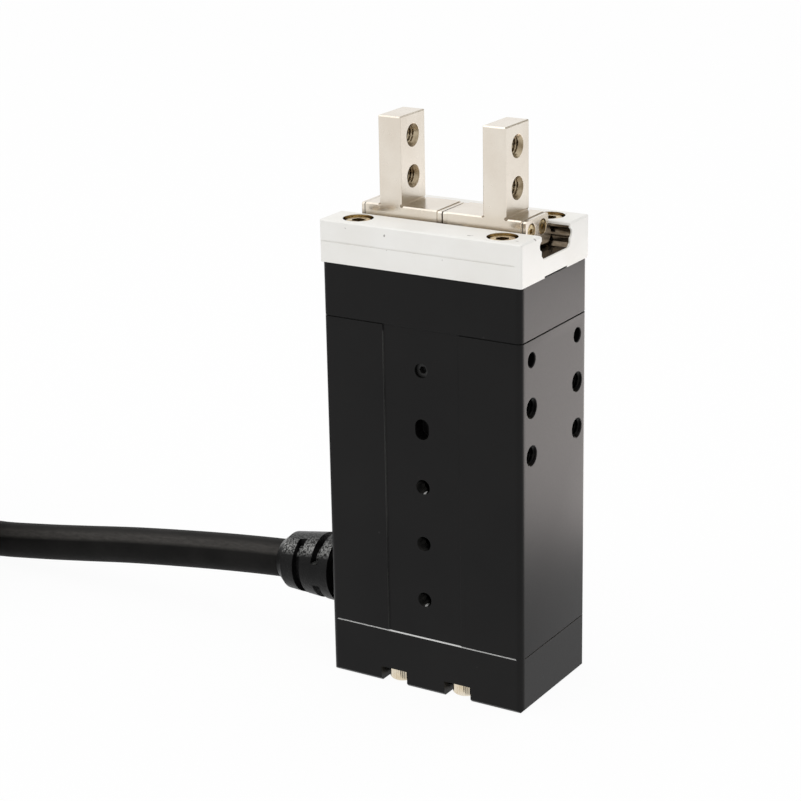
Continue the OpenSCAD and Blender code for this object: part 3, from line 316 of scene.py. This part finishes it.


# Bare walls of the guide's four counterbores, darkened with painted shade to the golden brown of the sunk
# screw heads
shadedCounterboreLook = {"mirrored": True, "colour": (0.20, 0.135, 0.055), "tint": (0.62, 0.5, 0.3),
                   "rough": 0.2, "metallic": 1}
finishLooks = {
    # colours run from 0 to 1, patches and grain are noise scales (larger is finer), lengths are in metres
    "black_anodised": {
        "colour": (0.0028, 0.0026, 0.0027), "tint": (0.0044, 0.0041, 0.0040), "patches": 45,
        "grain": 5200, "stretch": (1, 1, 0.6), "rough": (0.34, 0.42), "bump": 1.2e-6, "edge": 0.00018,
        "zones": [
            # a painted highlight along the front of the lower seam, where its bevel catches the light from
            # above, broken in patches
            {"middle": (0, -0.01385, 0.01203), "half": (0.0217, 0.00019, 0.00012),
             "patchy": (0.28, 0.4), "colour": (0.55, 0.55, 0.54), "tint": (0.78, 0.78, 0.77),
             "rough": 0.6, "metallic": 0},
            # a painted highlight on the side of the front recess, where its wall faces the light, broken in
            # patches
            {"middle": (-0.00875, -0.01388, 0.0450), "half": (0.00012, 0.00018, 0.0328),
             "patchy": (0.25, 0.5), "colour": (0.026, 0.026, 0.025), "tint": (0.045, 0.045, 0.043),
             "rough": 0.5, "metallic": 0}],
        "speck": (520, 0.79, (0.016, 0.015, 0.015)), "sockets": {"Specular IOR Level": 0.17}},
    "guide_silver": {
        "colour": (0.83, 0.815, 0.775), "tint": (0.87, 0.86, 0.83), "patches": 70,
        "grain": 2600, "stretch": (0.35, 1, 1), "rough": (0.4, 0.52), "bump": 2.2e-6, "edge": 0.00012,
        "zones": [
            # the ground faces of the guide's channel: smoother bare metal, its dark brown painted shade
            # inside the channel
            {"middle": (0, 0, 0.0965), "half": (0.02285, 0.0077, 0.0022),
             "colour": (0.15, 0.125, 0.095), "tint": (0.25, 0.215, 0.175), "rough": 0.24, "metallic": 1},
            {"middle": (0.0166, 0.01035, 0.09757), "half": (0.0032, 0.00265, 0.00168), **shadedCounterboreLook},
            {"middle": (0.0166, 0.0073, 0.098975), "half": (0.0032, 0.0007, 0.000275), **shadedCounterboreLook}],
        "speck": (620, 0.775, (0.42, 0.40, 0.38)),
        "sockets": {"Metallic": 0.05, "Specular IOR Level": 0.25}},
    "nickel": {
        "colour": (0.735, 0.665, 0.575), "tint": (0.79, 0.73, 0.645), "patches": 120,
        "grain": 1500, "stretch": (1, 1, 0.5), "rough": (0.22, 0.28), "bump": 1.4e-6, "edge": 0.0001,
        # the dark joint between a finger and its end caps
        "zones": [{"middle": (0.01822, 0, 0.1005), "half": (0.00009, 0.01, 0.0045), "mirrored": True,
                   "colour": (0.02, 0.018, 0.015), "tint": (0.05, 0.045, 0.035),
                   "rough": 0.5, "metallic": 0}],
        "sockets": {"Metallic": 1}},
    "screw_nickel": {
        "colour": (0.72, 0.62, 0.46), "tint": (0.80, 0.73, 0.61), "patches": 300,
        "grain": 2400, "rough": (0.16, 0.28), "bump": 3e-6, "sockets": {"Metallic": 1}},
    # screw heads sunk in counterbores and the fingers' ends: the nickel screws' colour darkened with
    # painted shade, with lighter golden mottling
    "shaded_sunk_screw": {
        "colour": (0.20, 0.135, 0.055), "tint": (0.66, 0.53, 0.31), "patches": 1100,
        "grain": 2400, "rough": (0.14, 0.26), "bump": 1e-5, "sockets": {"Metallic": 1}},
    "steel": {
        "colour": (0.55, 0.54, 0.53), "tint": (0.62, 0.61, 0.60), "patches": 90,
        "grain": 2600, "stretch": (1, 1, 0.12), "rough": (0.24, 0.36), "bump": 2e-6, "edge": 0.0001,
        "sockets": {"Metallic": 1}},
    "dark_steel": {
        "colour": (0.010, 0.010, 0.010), "tint": (0.018, 0.0175, 0.017), "patches": 260,
        "grain": 3000, "rough": (0.34, 0.46), "bump": 3e-6, "sockets": {"Specular IOR Level": 0.3}},
    "gear_steel": {
        "colour": (0.36, 0.35, 0.34), "tint": (0.47, 0.455, 0.44), "patches": 240,
        "grain": 3200, "stretch": (1, 1, 0.3), "rough": (0.2, 0.34), "bump": 2.5e-6,
        "sockets": {"Metallic": 1}},
    "laminated_steel": {
        "colour": (0.25, 0.245, 0.24), "tint": (0.36, 0.35, 0.34), "patches": 60,
        "grain": 900, "stretch": (0.15, 0.15, 4), "rough": (0.3, 0.5), "bump": 1.2e-5,
        "sockets": {"Metallic": 1}},
    "copper_wire": {
        "colour": (0.60, 0.24, 0.10), "tint": (0.76, 0.34, 0.16), "patches": 200,
        "grain": 700, "stretch": (3, 3, 0.3), "rough": (0.18, 0.3), "bump": 4e-5,
        "sockets": {"Metallic": 1, "Coat Weight": 0.5, "Coat Roughness": 0.1}},
    "magnet": {
        "colour": (0.17, 0.17, 0.175), "tint": (0.24, 0.24, 0.25), "patches": 200,
        "grain": 1800, "rough": (0.3, 0.42), "bump": 4e-6, "sockets": {"Metallic": 0.85}},
    "brass": {
        "colour": (0.62, 0.45, 0.17), "tint": (0.74, 0.56, 0.25), "patches": 240,
        "grain": 1800, "rough": (0.22, 0.34), "bump": 2e-6, "sockets": {"Metallic": 1}},
    "ball_steel": {
        "colour": (0.74, 0.74, 0.74), "tint": (0.78, 0.78, 0.78), "patches": 400,
        "grain": 2500, "rough": (0.05, 0.09), "bump": 5e-7, "sockets": {"Metallic": 1}},
    "board_green": {
        "colour": (0.012, 0.085, 0.035), "tint": (0.02, 0.13, 0.05), "patches": 420,
        "grain": 1400, "rough": (0.22, 0.34), "bump": 8e-6, "sockets": {"Coat Weight": 0.4}},
    "chip_black": {
        "colour": (0.012, 0.012, 0.013), "tint": (0.02, 0.02, 0.02), "patches": 500,
        "grain": 5000, "rough": (0.42, 0.6), "bump": 5e-6},
    "wire_red": {
        "colour": (0.42, 0.035, 0.02), "tint": (0.5, 0.05, 0.03), "patches": 200,
        "grain": 2500, "rough": (0.3, 0.42), "bump": 4e-6},
    "rubber_black": {
        "colour": (0.004, 0.004, 0.004), "tint": (0.007, 0.007, 0.007), "patches": 160,
        "grain": 2300, "rough": (0.3, 0.4), "bump": 1.2e-4,
        # painted sheen on the boot's upper faces, a grainy highlight of the light from above
        "paintedSheen": {"slope": (0.5, 0.68), "level": (0.8, 0.95), "grain": (0.42, 0.6),
                 "colour": (0.32, 0.32, 0.31)},
        "sockets": {"Specular IOR Level": 0.12}},
    "cable_black": {
        "colour": (0.0085, 0.0083, 0.0080), "tint": (0.0125, 0.0120, 0.0115), "patches": 110,
        "grain": 900, "stretch": (0.5, 2, 2), "rough": (0.5, 0.62), "bump": 1.2e-5,
        # painted sheen along the top of the cable, the highlight of the light from above
        "paintedSheen": {"slope": (0.42, 0.6), "level": (0.8, 0.95), "grain": (-0.3, 0.9),
                 "colour": (0.066, 0.062, 0.058)},
        "sockets": {"Specular IOR Level": 0.04}},
    "strap_weave": {
        "colour": (0.008, 0.008, 0.009), "tint": (0.02, 0.02, 0.021), "patches": 900,
        "grain": 3200, "stretch": (1, 1, 2.5), "rough": (0.7, 0.9), "bump": 1.2e-4,
        "sockets": {"Specular IOR Level": 0.2, "Sheen Weight": 0.3}},
    # bare metal threads of the housing's holes, near black with painted shade deep inside the holes
    "shaded_bare_thread": {
        "colour": (0.003, 0.003, 0.003), "tint": (0.010, 0.0095, 0.009), "patches": 700,
        "grain": 3000, "rough": (0.2, 0.32), "bump": 4e-6,
        # a painted glint low in two of the front holes, where the thread's rim catches the light
        "zones": [{"middle": (x, -0.0131, z), "half": (0.0003, 0.0005, 0.00035),
                   "colour": (0.16, 0.16, 0.155), "tint": (0.45, 0.45, 0.44),
                   "rough": 0.4, "metallic": 0}
                  for x, z in ((0.0002, 0.0194), (0.0003, 0.0443))],
        "sockets": {"Metallic": 1}},
    "nickel_thread": {
        "colour": (0.22, 0.165, 0.10), "tint": (0.48, 0.40, 0.28), "patches": 500,
        "grain": 3000, "rough": (0.2, 0.32), "bump": 4e-6, "sockets": {"Metallic": 1}},
    "plug_black": {
        "colour": (0.012, 0.012, 0.013), "tint": (0.02, 0.02, 0.021), "patches": 150,
        "grain": 3000, "rough": (0.36, 0.5), "bump": 1.2e-5},
    "plug_metal": {
        "colour": (0.58, 0.57, 0.55), "tint": (0.66, 0.65, 0.63), "patches": 160,
        "grain": 2200, "rough": (0.2, 0.32), "bump": 2.5e-6, "sockets": {"Metallic": 1}},
}
finish = {name: makeFinish(name, look) for name, look in finishLooks.items()}

for part in frame["record"]["subparts"]:
    node = frame["nodes"][part["node"]]
    node.data.materials.clear()
    node.data.materials.append(finish[part["material_slot"]])
print("finishes:", len(finish))


screwInputs = [
    ("Float", ("Head Radius", "Head Height", "Edge", "Knurl Depth", "Socket Radius", "Socket Depth",
               "Shank Radius", "Shank Length", "Spacing X", "Spacing Y")),
    ("Int", ("Knurls", "Count X", "Count Y")), ("Vector", ("Turn", "Place")), ("Material", ("Finish",)),
]
shankSides = 24


# One tree makes a row or block of knurled socket head screws, each with its head's underside on z = 0
def makeScrewTree():
    tree = bpy.data.node_groups.new("knurledScrews", "GeometryNodeTree")
    for kind, names in screwInputs:
        for name in names:
            tree.interface.new_socket(name, in_out="INPUT", socket_type="NodeSocket" + kind)
    tree.interface.new_socket("Geometry", in_out="OUTPUT", socket_type="NodeSocketGeometry")
    given = addNode(tree, "NodeGroupInput").outputs

    def maths(operation, *values):
        return nodeMath(tree, operation, *values)

    def vector(*values):
        return nodeOutput(tree, "ShaderNodeCombineXYZ", dict(enumerate(values)))

    def cylinder(vertices, radius, depth, rows=1):
        return nodeOutput(tree, "GeometryNodeMeshCylinder", {
            "Vertices": vertices, "Side Segments": rows, "Radius": radius, "Depth": depth})

    def moved(geometry, place):
        return nodeOutput(tree, "GeometryNodeTransform", {"Geometry": geometry, "Translation": place})

    # the head starts as four rings at -1.5, -0.5, 0.5 and 1.5, and the outer two become its bevelled rims
    head = cylinder(maths("MULTIPLY", given["Knurls"], 2), given["Head Radius"], 3, rows=3)
    position = nodeOutput(tree, "GeometryNodeInputPosition")
    place = addNode(tree, "ShaderNodeSeparateXYZ", {0: position}).outputs
    upper = maths("GREATER_THAN", place["Z"], 0)
    outer = maths("GREATER_THAN", maths("ABSOLUTE", place["Z"]), 1)
    between = maths("SUBTRACT", 1, outer)
    odd = maths("FLOORED_MODULO", nodeOutput(tree, "GeometryNodeInputIndex"), 2)
    valley = maths("SUBTRACT", 1, maths("MULTIPLY", odd, given["Knurl Depth"]))
    bevelled = maths("SUBTRACT", 1, maths("DIVIDE", given["Edge"], given["Head Radius"]))
    spread = maths("ADD", maths("MULTIPLY", outer, bevelled), maths("MULTIPLY", between, valley))
    inset = maths("MULTIPLY", between, given["Edge"])
    tall = maths("SUBTRACT", given["Head Height"], maths("MULTIPLY", 2, inset))
    rise = maths("ADD", maths("MULTIPLY", upper, tall), inset)
    shaped = vector(maths("MULTIPLY", place["X"], spread), maths("MULTIPLY", place["Y"], spread), rise)
    head = nodeOutput(tree, "GeometryNodeSetPosition", {"Geometry": head, "Position": shaped})
    hexagon = cylinder(6, given["Socket Radius"], maths("MULTIPLY", 2, given["Socket Depth"]))
    hexagon = moved(hexagon, vector(0, 0, given["Head Height"]))
    drilled = nodeOutput(tree, "GeometryNodeMeshBoolean", {"Mesh 1": head, "Mesh 2": hexagon},
                         operation="DIFFERENCE", solver="EXACT")
    shank = cylinder(shankSides, given["Shank Radius"], given["Shank Length"])
    shank = moved(shank, vector(0, 0, maths("DIVIDE", given["Shank Length"], -2)))
    screw = addNode(tree, "GeometryNodeJoinGeometry")
    tree.links.new(shank, screw.inputs[0])
    tree.links.new(drilled, screw.inputs[0])
    block = screw.outputs[0]
    for axis in "YX":    # a row of screws, then a row of such rows, each about its own middle
        count, spacing = given["Count " + axis], given["Spacing " + axis]
        begin = maths("MULTIPLY", spacing, maths("DIVIDE", maths("SUBTRACT", count, 1), -2))
        start = nodeOutput(tree, "ShaderNodeCombineXYZ", {axis: begin})
        step = nodeOutput(tree, "ShaderNodeCombineXYZ", {axis: spacing})
        row = nodeOutput(tree, "GeometryNodeMeshLine", {
            "Count": count, "Start Location": start, "Offset": step}, mode="OFFSET")
        block = nodeOutput(tree, "GeometryNodeInstanceOnPoints", {"Points": row, "Instance": block})
    whole = nodeOutput(tree, "GeometryNodeRealizeInstances", {0: block})
    whole = nodeOutput(tree, "GeometryNodeTransform", {
        "Geometry": whole, "Rotation": given["Turn"], "Translation": given["Place"]})
    whole = nodeOutput(tree, "GeometryNodeSetMaterial", {"Geometry": whole, "Material": given["Finish"]})
    addNode(tree, "NodeGroupOutput", {0: whole})
    return tree


# Runs a tree with the given inputs and returns the plain mesh
def grown(tree, name, inputs):
    host = addObject(name, bpy.data.meshes.new(name))
    modifier = host.modifiers.new(name, "NODES")
    modifier.node_group = tree
    for item in tree.interface.items_tree:
        if item.in_out == "INPUT" and item.name in inputs:
            modifier[item.identifier] = inputs[item.name]
    depsgraph = bpy.context.evaluated_depsgraph_get()
    mesh = bpy.data.meshes.new_from_object(host.evaluated_get(depsgraph))
    mesh.name = name
    host.modifiers.remove(modifier)
    bpy.data.objects.remove(host)
    return mesh


def joined(name, meshes):
    whole = bmesh.new()
    for part in meshes:
        whole.from_mesh(part)
        bpy.data.meshes.remove(part)
    mesh = bpy.data.meshes.new(name)
    whole.to_mesh(mesh)
    whole.free()
    return mesh


# A finished piece that stands for a node of the frame
def dress(name, mesh, body, node, slotName, look=None):
    piece = addObject(name, mesh, finish[look or slotName])
    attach(piece, body)
    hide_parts(node)
    print(name, len(mesh.polygons), "faces")
    return piece


screwSizes = {    # millimetres
    "m3": {"Head Radius": 2.75, "Head Height": 3, "Edge": 0.28, "Knurls": 40, "Knurl Depth": 0.045,
           "Socket Radius": 1.443, "Socket Depth": 1.65, "Shank Radius": 1.5},
    "m16": {"Head Radius": 1.5, "Head Height": 0.55, "Edge": 0.2, "Knurls": 26, "Knurl Depth": 0.04,
            "Socket Radius": 0.62, "Socket Depth": 0.38, "Shank Radius": 0.8},
}
upright, flipped = (0, 0, 0), (math.pi, 0, 0)
towardsX, awayFromX = (0, math.pi / 2, 0), (0, -math.pi / 2, 0)
screwSets = [
    # node, body, look, size, shank, counts and spacings along x and y, turns and places, in millimetres
    ("guide_screws", "housing", "shaded_sunk_screw", "m3", 25, (2, 2), (33.2, 19.6), [(upright, (0, 0, 95.9))]),
    ("cap_screws", "housing", "screw_nickel", "m3", 16, (2, 2), (15.4, 20.6), [(flipped, (0, 0, 3.3))]),
    ("end_screws_right", "right_finger", "shaded_sunk_screw", "m16", 4, (1, 2), (0, 4.7),
     [(towardsX, (18.3, 0, 98.9)), (awayFromX, (0.8, 0, 98.9))]),
    ("end_screws_left", "left_finger", "shaded_sunk_screw", "m16", 4, (1, 2), (0, 4.7),
     [(awayFromX, (-18.3, 0, 98.9)), (towardsX, (-0.8, 0, 98.9))]),
]


def makeScrews(tree):
    for node, body, look, size, shank, counts, spacings, places in screwSets:
        sizes = {"Shank Length": shank * mm, "Finish": finish[look]}
        for key, value in screwSizes[size].items():    # the knurls are a count and a share, not lengths
            sizes[key] = value if key.startswith("Knurl") else value * mm
        for axis, count, spacing in zip("XY", counts, spacings):
            sizes.update({"Count " + axis: count, "Spacing " + axis: spacing * mm})
        meshes = []
        for turn, place in places:
            sizes.update({"Turn": turn, "Place": tuple(value * mm for value in place)})
            meshes.append(grown(tree, node, sizes))
        dress("knurled_" + node, joined("knurled_" + node, meshes), body, node, "screw_nickel", look)


makeScrews(makeScrewTree())
print("screws ready")


threads = {    # millimetres: mouth, outer and inner thread radius, pitch
    "m4": {"mouth": 2.4, "outer": 2.02, "inner": 1.62, "pitch": 0.7, "segments": 56},
    "m4side": {"mouth": 2.2, "outer": 2.02, "inner": 1.62, "pitch": 0.7, "segments": 40},
    "m3": {"mouth": 1.65, "outer": 1.5, "inner": 1.23, "pitch": 0.5, "segments": 36},
}
threadForm = {
    "rowsPerPitch": 8, "fewestRows": 4,
    "crest": 1.25,    # over 1 leaves the top of the thread flat
    "margin": 2e-6, "merge": 1e-7,    # metres
    "softAngle": 32,    # degrees
}
fingerHoles = [("m4", 106.7), ("m4", 115.1)]
threadedNodes = {
    # node: body, slot, finish of the threads, holes
    # each hole: size, middle of the mouth, direction into the hole, depth, open at both ends
    "finger_right": ("right_finger", "nickel", "nickel_thread",
                     [(size, (14.6, 0, z), (-1, 0, 0), 5.2, True) for size, z in fingerHoles]),
    "finger_left": ("left_finger", "nickel", "nickel_thread",
                    [(size, (-9.4, 0, z), (-1, 0, 0), 5.2, True) for size, z in fingerHoles]),
    "main_body": ("housing", "black_anodised", "shaded_bare_thread",
                  [("m4side", (x, y, z), (-1 if x > 0 else 1, 0, 0), 8, False)
                   for x in (-23, 23) for y in (-9.75, 9.75) for z in (55.1, 65.1)]
                  + [("m3", (0, -13.75, z), (0, 1, 0), 3.05, False) for z in (20.7, 33.15, 45.6)]),
}


# Takes out the plain wall of a hole and returns the edges that are left round it
def openHole(shape, toHole, room, depth):
    margin = threadForm["margin"]
    inside = set()
    for vertex in shape.verts:
        spot = toHole @ vertex.co
        if math.hypot(spot.x, spot.y) < room + margin and -margin < spot.z < depth + margin:
            inside.add(vertex)
    wall = [face for face in shape.faces if inside.issuperset(face.verts)]
    bmesh.ops.delete(shape, geom=wall, context="FACES")
    return [edge for edge in shape.edges if edge.is_boundary and inside.issuperset(edge.verts)]


# Replaces the plain wall of a hole by a threaded one
def cutThread(shape, size, mouth, inwards, depth, through):
    form = threads[size]
    count, outer = form["segments"], form["outer"]
    turn = Vector(inwards).to_track_quat("Z", "Y").to_matrix().to_4x4()
    toHole = (Matrix.Translation(Vector(mouth) * mm) @ turn).inverted()
    fromHole = toHole.inverted()
    rims = openHole(shape, toHole, form["mouth"] * mm, depth * mm)
    rows = max(threadForm["fewestRows"], round(depth / form["pitch"] * threadForm["rowsPerPitch"]))
    rings = []
    for row in range(1, rows):
        down = depth * row / rows
        cone = form["mouth"] - (min(down, depth - down) if through else down)
        ring = []
        for step in range(count):
            angle = 2 * math.pi * step / count
            phase = (down / form["pitch"] - step / count) % 1
            crest = min(1, threadForm["crest"] * (1 - abs(2 * phase - 1)))
            radius = max(outer - (outer - form["inner"]) * crest, cone)
            spot = Vector((radius * math.cos(angle) * mm, radius * math.sin(angle) * mm, down * mm))
            ring.append(shape.verts.new(fromHole @ spot))
        rings.append(ring)
    for low, high in zip(rings, rings[1:]):
        for k in range(count):
            after = (k + 1) % count
            shape.faces.new((low[k], low[after], high[after], high[k])).material_index = 1

    def edgesOf(ring):
        return [shape.edges.get((ring[k], ring[(k + 1) % count])) for k in range(count)]

    def lowEdge(edge):
        return (toHole @ edge.verts[0].co).z < depth * mm / 2

    bmesh.ops.bridge_loops(shape, edges=[e for e in rims if lowEdge(e)] + edgesOf(rings[0]))
    if through:
        bmesh.ops.bridge_loops(shape, edges=[e for e in rims if not lowEdge(e)] + edgesOf(rings[-1]))
    else:
        shape.faces.new(rings[-1]).material_index = 1


def makeThreads():
    for node, (body, slotName, threadFinish, holes) in threadedNodes.items():
        shape = bmesh.new()
        shape.from_mesh(frame["nodes"][node].data)
        bmesh.ops.remove_doubles(shape, verts=shape.verts, dist=threadForm["merge"])
        for face in shape.faces:
            face.material_index = 0
        for hole in holes:
            cutThread(shape, *hole)
        bmesh.ops.recalc_face_normals(shape, faces=shape.faces)
        for face in shape.faces:
            face.smooth = True
        softenEdges(shape, threadForm["softAngle"])
        print(node, "open edges:", sum(edge.is_boundary for edge in shape.edges))
        mesh = bpy.data.meshes.new("threaded_" + node)
        shape.to_mesh(mesh)
        shape.free()
        if "custom_normal" in mesh.attributes:
            mesh.attributes.remove(mesh.attributes["custom_normal"])
        piece = dress("threaded_" + node, mesh, body, node, slotName)
        piece.data.materials.append(finish[threadFinish])


makeThreads()
print("threads ready")


cableSizes = {
    "radius": 4.25, "length": 1.02,    # millimetres, and metres for the whole length
    "runOut": [(-17.6, 0, 17.6), (-24.5, 0, 17.6), (-35, 0, 17), (-45, 0, 16.3), (-60, 0, 14.7),
               (-74, 0, 12.9), (-88, 0, 10.9), (-102, 0, 8.6), (-116, 0, 6.4), (-130, 0, 4.6),
               (-139, 1.1, 4.25)],
    "coilCentre": (-165.5, -35), "coilRadius": 43, "layers": 3,
    # degrees: first point, step, where each layer rises onto the next, and end past the last full turn
    "coilStart": 68, "coilStep": 14, "climb": (-20, 50), "coilEnd": 80,
    # millimetres: the last quarter turn up to the plug
    "tailRadius": 34, "tailSteps": 5, "plugAxis": 33.02, "tailEnd": 4,
    "smoothing": 5, "roundness": 7,    # steps between two points, and Blender's bevel resolution
}


def coilPoints(sizes):
    r, (climbFrom, climbTo) = sizes["radius"], sizes["climb"]
    cx, cy = sizes["coilCentre"]
    found = []
    for angle in range(sizes["coilStart"], 360 * sizes["layers"] + sizes["coilEnd"], sizes["coilStep"]):
        layer, within = divmod(angle - climbFrom, 360)
        climbed = layer - 1 + min(1, within / (climbTo - climbFrom)) if layer > 0 else 0
        turn = math.radians(angle)
        found.append((cx + sizes["coilRadius"] * math.cos(turn), cy + sizes["coilRadius"] * math.sin(turn),
                      r + 2 * r * climbed))
    return found


def tailPoints(sizes):
    cx, cy = sizes["coilCentre"]
    reach, steps = sizes["tailRadius"], sizes["tailSteps"]
    low, high = sizes["radius"] * (2 * sizes["layers"] + 1), sizes["plugAxis"]
    cy += sizes["coilRadius"] - reach
    found = []
    for i in range(steps + 1):
        share = i / steps
        turn = math.radians(90 + 90 * share)
        found.append((cx + reach * math.cos(turn), cy + reach * math.sin(turn), low + (high - low) * share))
    return found + [(cx - reach, cy - sizes["tailEnd"], high)]


# Smooth curve through all the points, which doesn't overshoot where they stand unevenly
def smoothRoute(points, steps):
    p = [Vector(q) for q in points]
    p = [2 * p[0] - p[1]] + p + [2 * p[-1] - p[-2]]
    route = []
    for a, b, c, d in zip(p, p[1:], p[2:], p[3:]):
        t1 = (b - a).length ** 0.5
        t2 = t1 + (c - b).length ** 0.5
        t3 = t2 + (d - c).length ** 0.5
        for i in range(steps):
            t = t1 + (t2 - t1) * i / steps
            a1 = a * (t1 - t) / t1 + b * t / t1
            a2 = b * (t2 - t) / (t2 - t1) + c * (t - t1) / (t2 - t1)
            a3 = c * (t3 - t) / (t3 - t2) + d * (t - t2) / (t3 - t2)
            b1 = a1 * (t2 - t) / t2 + a2 * t / t2
            b2 = a2 * (t3 - t) / (t3 - t1) + a3 * (t - t1) / (t3 - t1)
            route.append(b1 * (t2 - t) / (t2 - t1) + b2 * (t - t1) / (t2 - t1))
    return route + [p[-2]]


def makeCable(sizes):
    control = sizes["runOut"] + coilPoints(sizes) + tailPoints(sizes)
    route = [q * mm for q in smoothRoute(control, sizes["smoothing"])]
    curve = bpy.data.curves.new("free_cable", "CURVE")
    curve.dimensions = "3D"
    curve.bevel_depth = sizes["radius"] * mm
    curve.bevel_resolution = sizes["roundness"]
    curve.use_fill_caps = True
    line = curve.splines.new("POLY")
    line.points.add(len(route) - 1)
    for point, place in zip(line.points, route):
        point.co = (*place, 1)
    line.use_smooth = True
    curve.materials.append(finish["cable_black"])
    print("cable length:", round(sum((b - a).length for a, b in zip(route, route[1:])), 4))
    return linkObject("free_cable", curve)


# Faces between rings of points, of which the last one meets the first again
def ringFaces(rings, count):
    faces = []
    for a in range(rings):
        low, high = a * count, (a + 1) % rings * count
        faces += [(low + k, low + (k + 1) % count, high + (k + 1) % count, high + k) for k in range(count)]
    return faces


tieSizes = {    # degrees and millimetres
    "angle": 315, "width": 7, "outerWidth": 0.94,    # share of the width at the rounded outer face
    "thickness": 1, "corner": 4.1, "cornerStep": 15, "slack": 0.12,
    "innerUnder": 0.02, "outerUnder": 0.15,    # how far its two faces reach below the cable
    "softAngle": 35,
}


# Closed ring of corner points round the stacked turns, in the plane across the cable
def strapOutline(sizes, grow, under):
    half = cableSizes["radius"] + sizes["slack"] + grow
    top = 2 * cableSizes["radius"] * cableSizes["layers"] + sizes["slack"] + grow
    corner, outline = sizes["corner"] + grow, []
    for quarter, (side, level) in enumerate([(1, 1), (-1, 1), (-1, -1), (1, -1)]):
        across, high = side * (half - corner), top - corner if level > 0 else corner - under
        for turned in range(0, 90 + sizes["cornerStep"], sizes["cornerStep"]):
            turn = math.radians(90 * quarter + turned)
            outline.append((across + corner * math.cos(turn), high + corner * math.sin(turn)))
    return outline


def makeTie(sizes):
    turn = math.radians(sizes["angle"])
    outwards = Vector((math.cos(turn), math.sin(turn), 0))
    along = Vector((-math.sin(turn), math.cos(turn), 0))
    middle = Vector((*cableSizes["coilCentre"], 0)) + outwards * cableSizes["coilRadius"]
    inner = strapOutline(sizes, 0, sizes["innerUnder"])
    outer = strapOutline(sizes, sizes["thickness"], sizes["outerUnder"])
    rims = [(inner, -1), (inner, 1), (outer, sizes["outerWidth"]), (outer, -sizes["outerWidth"])]
    points = [(middle + outwards * x + Vector((0, 0, z)) + along * side * sizes["width"] / 2) * mm
              for outline, side in rims for x, z in outline]
    mesh = meshFrom("coil_tie", points, ringFaces(len(rims), len(inner)))
    faceOutwards(mesh, sizes["softAngle"])
    tie = addObject("coil_tie", mesh, finish["strap_weave"])
    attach(tie, "housing")
    print("coil_tie", len(mesh.polygons), "faces")
    return tie


nutSizes = {    # millimetres
    "start": 28.15, "length": 15, "radius": 7.5, "wall": 1.3, "web": 2.5, "hole": 5.4,
    "ribs": 44, "ribDepth": 0.32, "ribEdge": 0.05, "plain": 3.2, "edge": 0.5, "lip": 0.3,
}


# Coupling nut with a ribbed grip, turned about the plug's own line
def makeNut(sizes):
    r, length, edge, lip = (sizes[key] for key in ("radius", "length", "edge", "lip"))
    inside, groove, ribEnd = r - sizes["wall"], sizes["ribDepth"], length - sizes["plain"]
    # radius, place along the nut, and 1 where the ribs are cut
    profile = [(sizes["hole"], 0, 0), (r - edge, 0, 0), (r - groove, edge, 0),
               (r, edge + sizes["ribEdge"], 1), (r, ribEnd - sizes["ribEdge"], 1), (r - groove, ribEnd, 0),
               (r - groove, length - edge, 0), (r - groove - edge, length, 0), (inside + lip, length, 0),
               (inside, length - lip, 0), (inside, sizes["web"], 0), (sizes["hole"], sizes["web"], 0)]
    sides = 2 * sizes["ribs"]
    x, y, z = tailPoints(cableSizes)[-1]
    points = []
    for radius, down, ribbed in profile:
        for k in range(sides):
            reach = radius - groove * (k % 2) * ribbed
            turn = 2 * math.pi * k / sides
            spot = (x + reach * math.cos(turn), y - sizes["start"] - down, z + reach * math.sin(turn))
            points.append(Vector(spot) * mm)
    mesh = meshFrom("ribbed_nut", points, ringFaces(len(profile), sides), smooth=False)
    faceOutwards(mesh)
    return dress("ribbed_nut", mesh, "plug_ring", "plug_nut", "plug_metal")


tie, nut = makeTie(tieSizes), makeNut(nutSizes)
cable = makeCable(cableSizes)
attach(cable, "housing")
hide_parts("cable", "cable_coil")
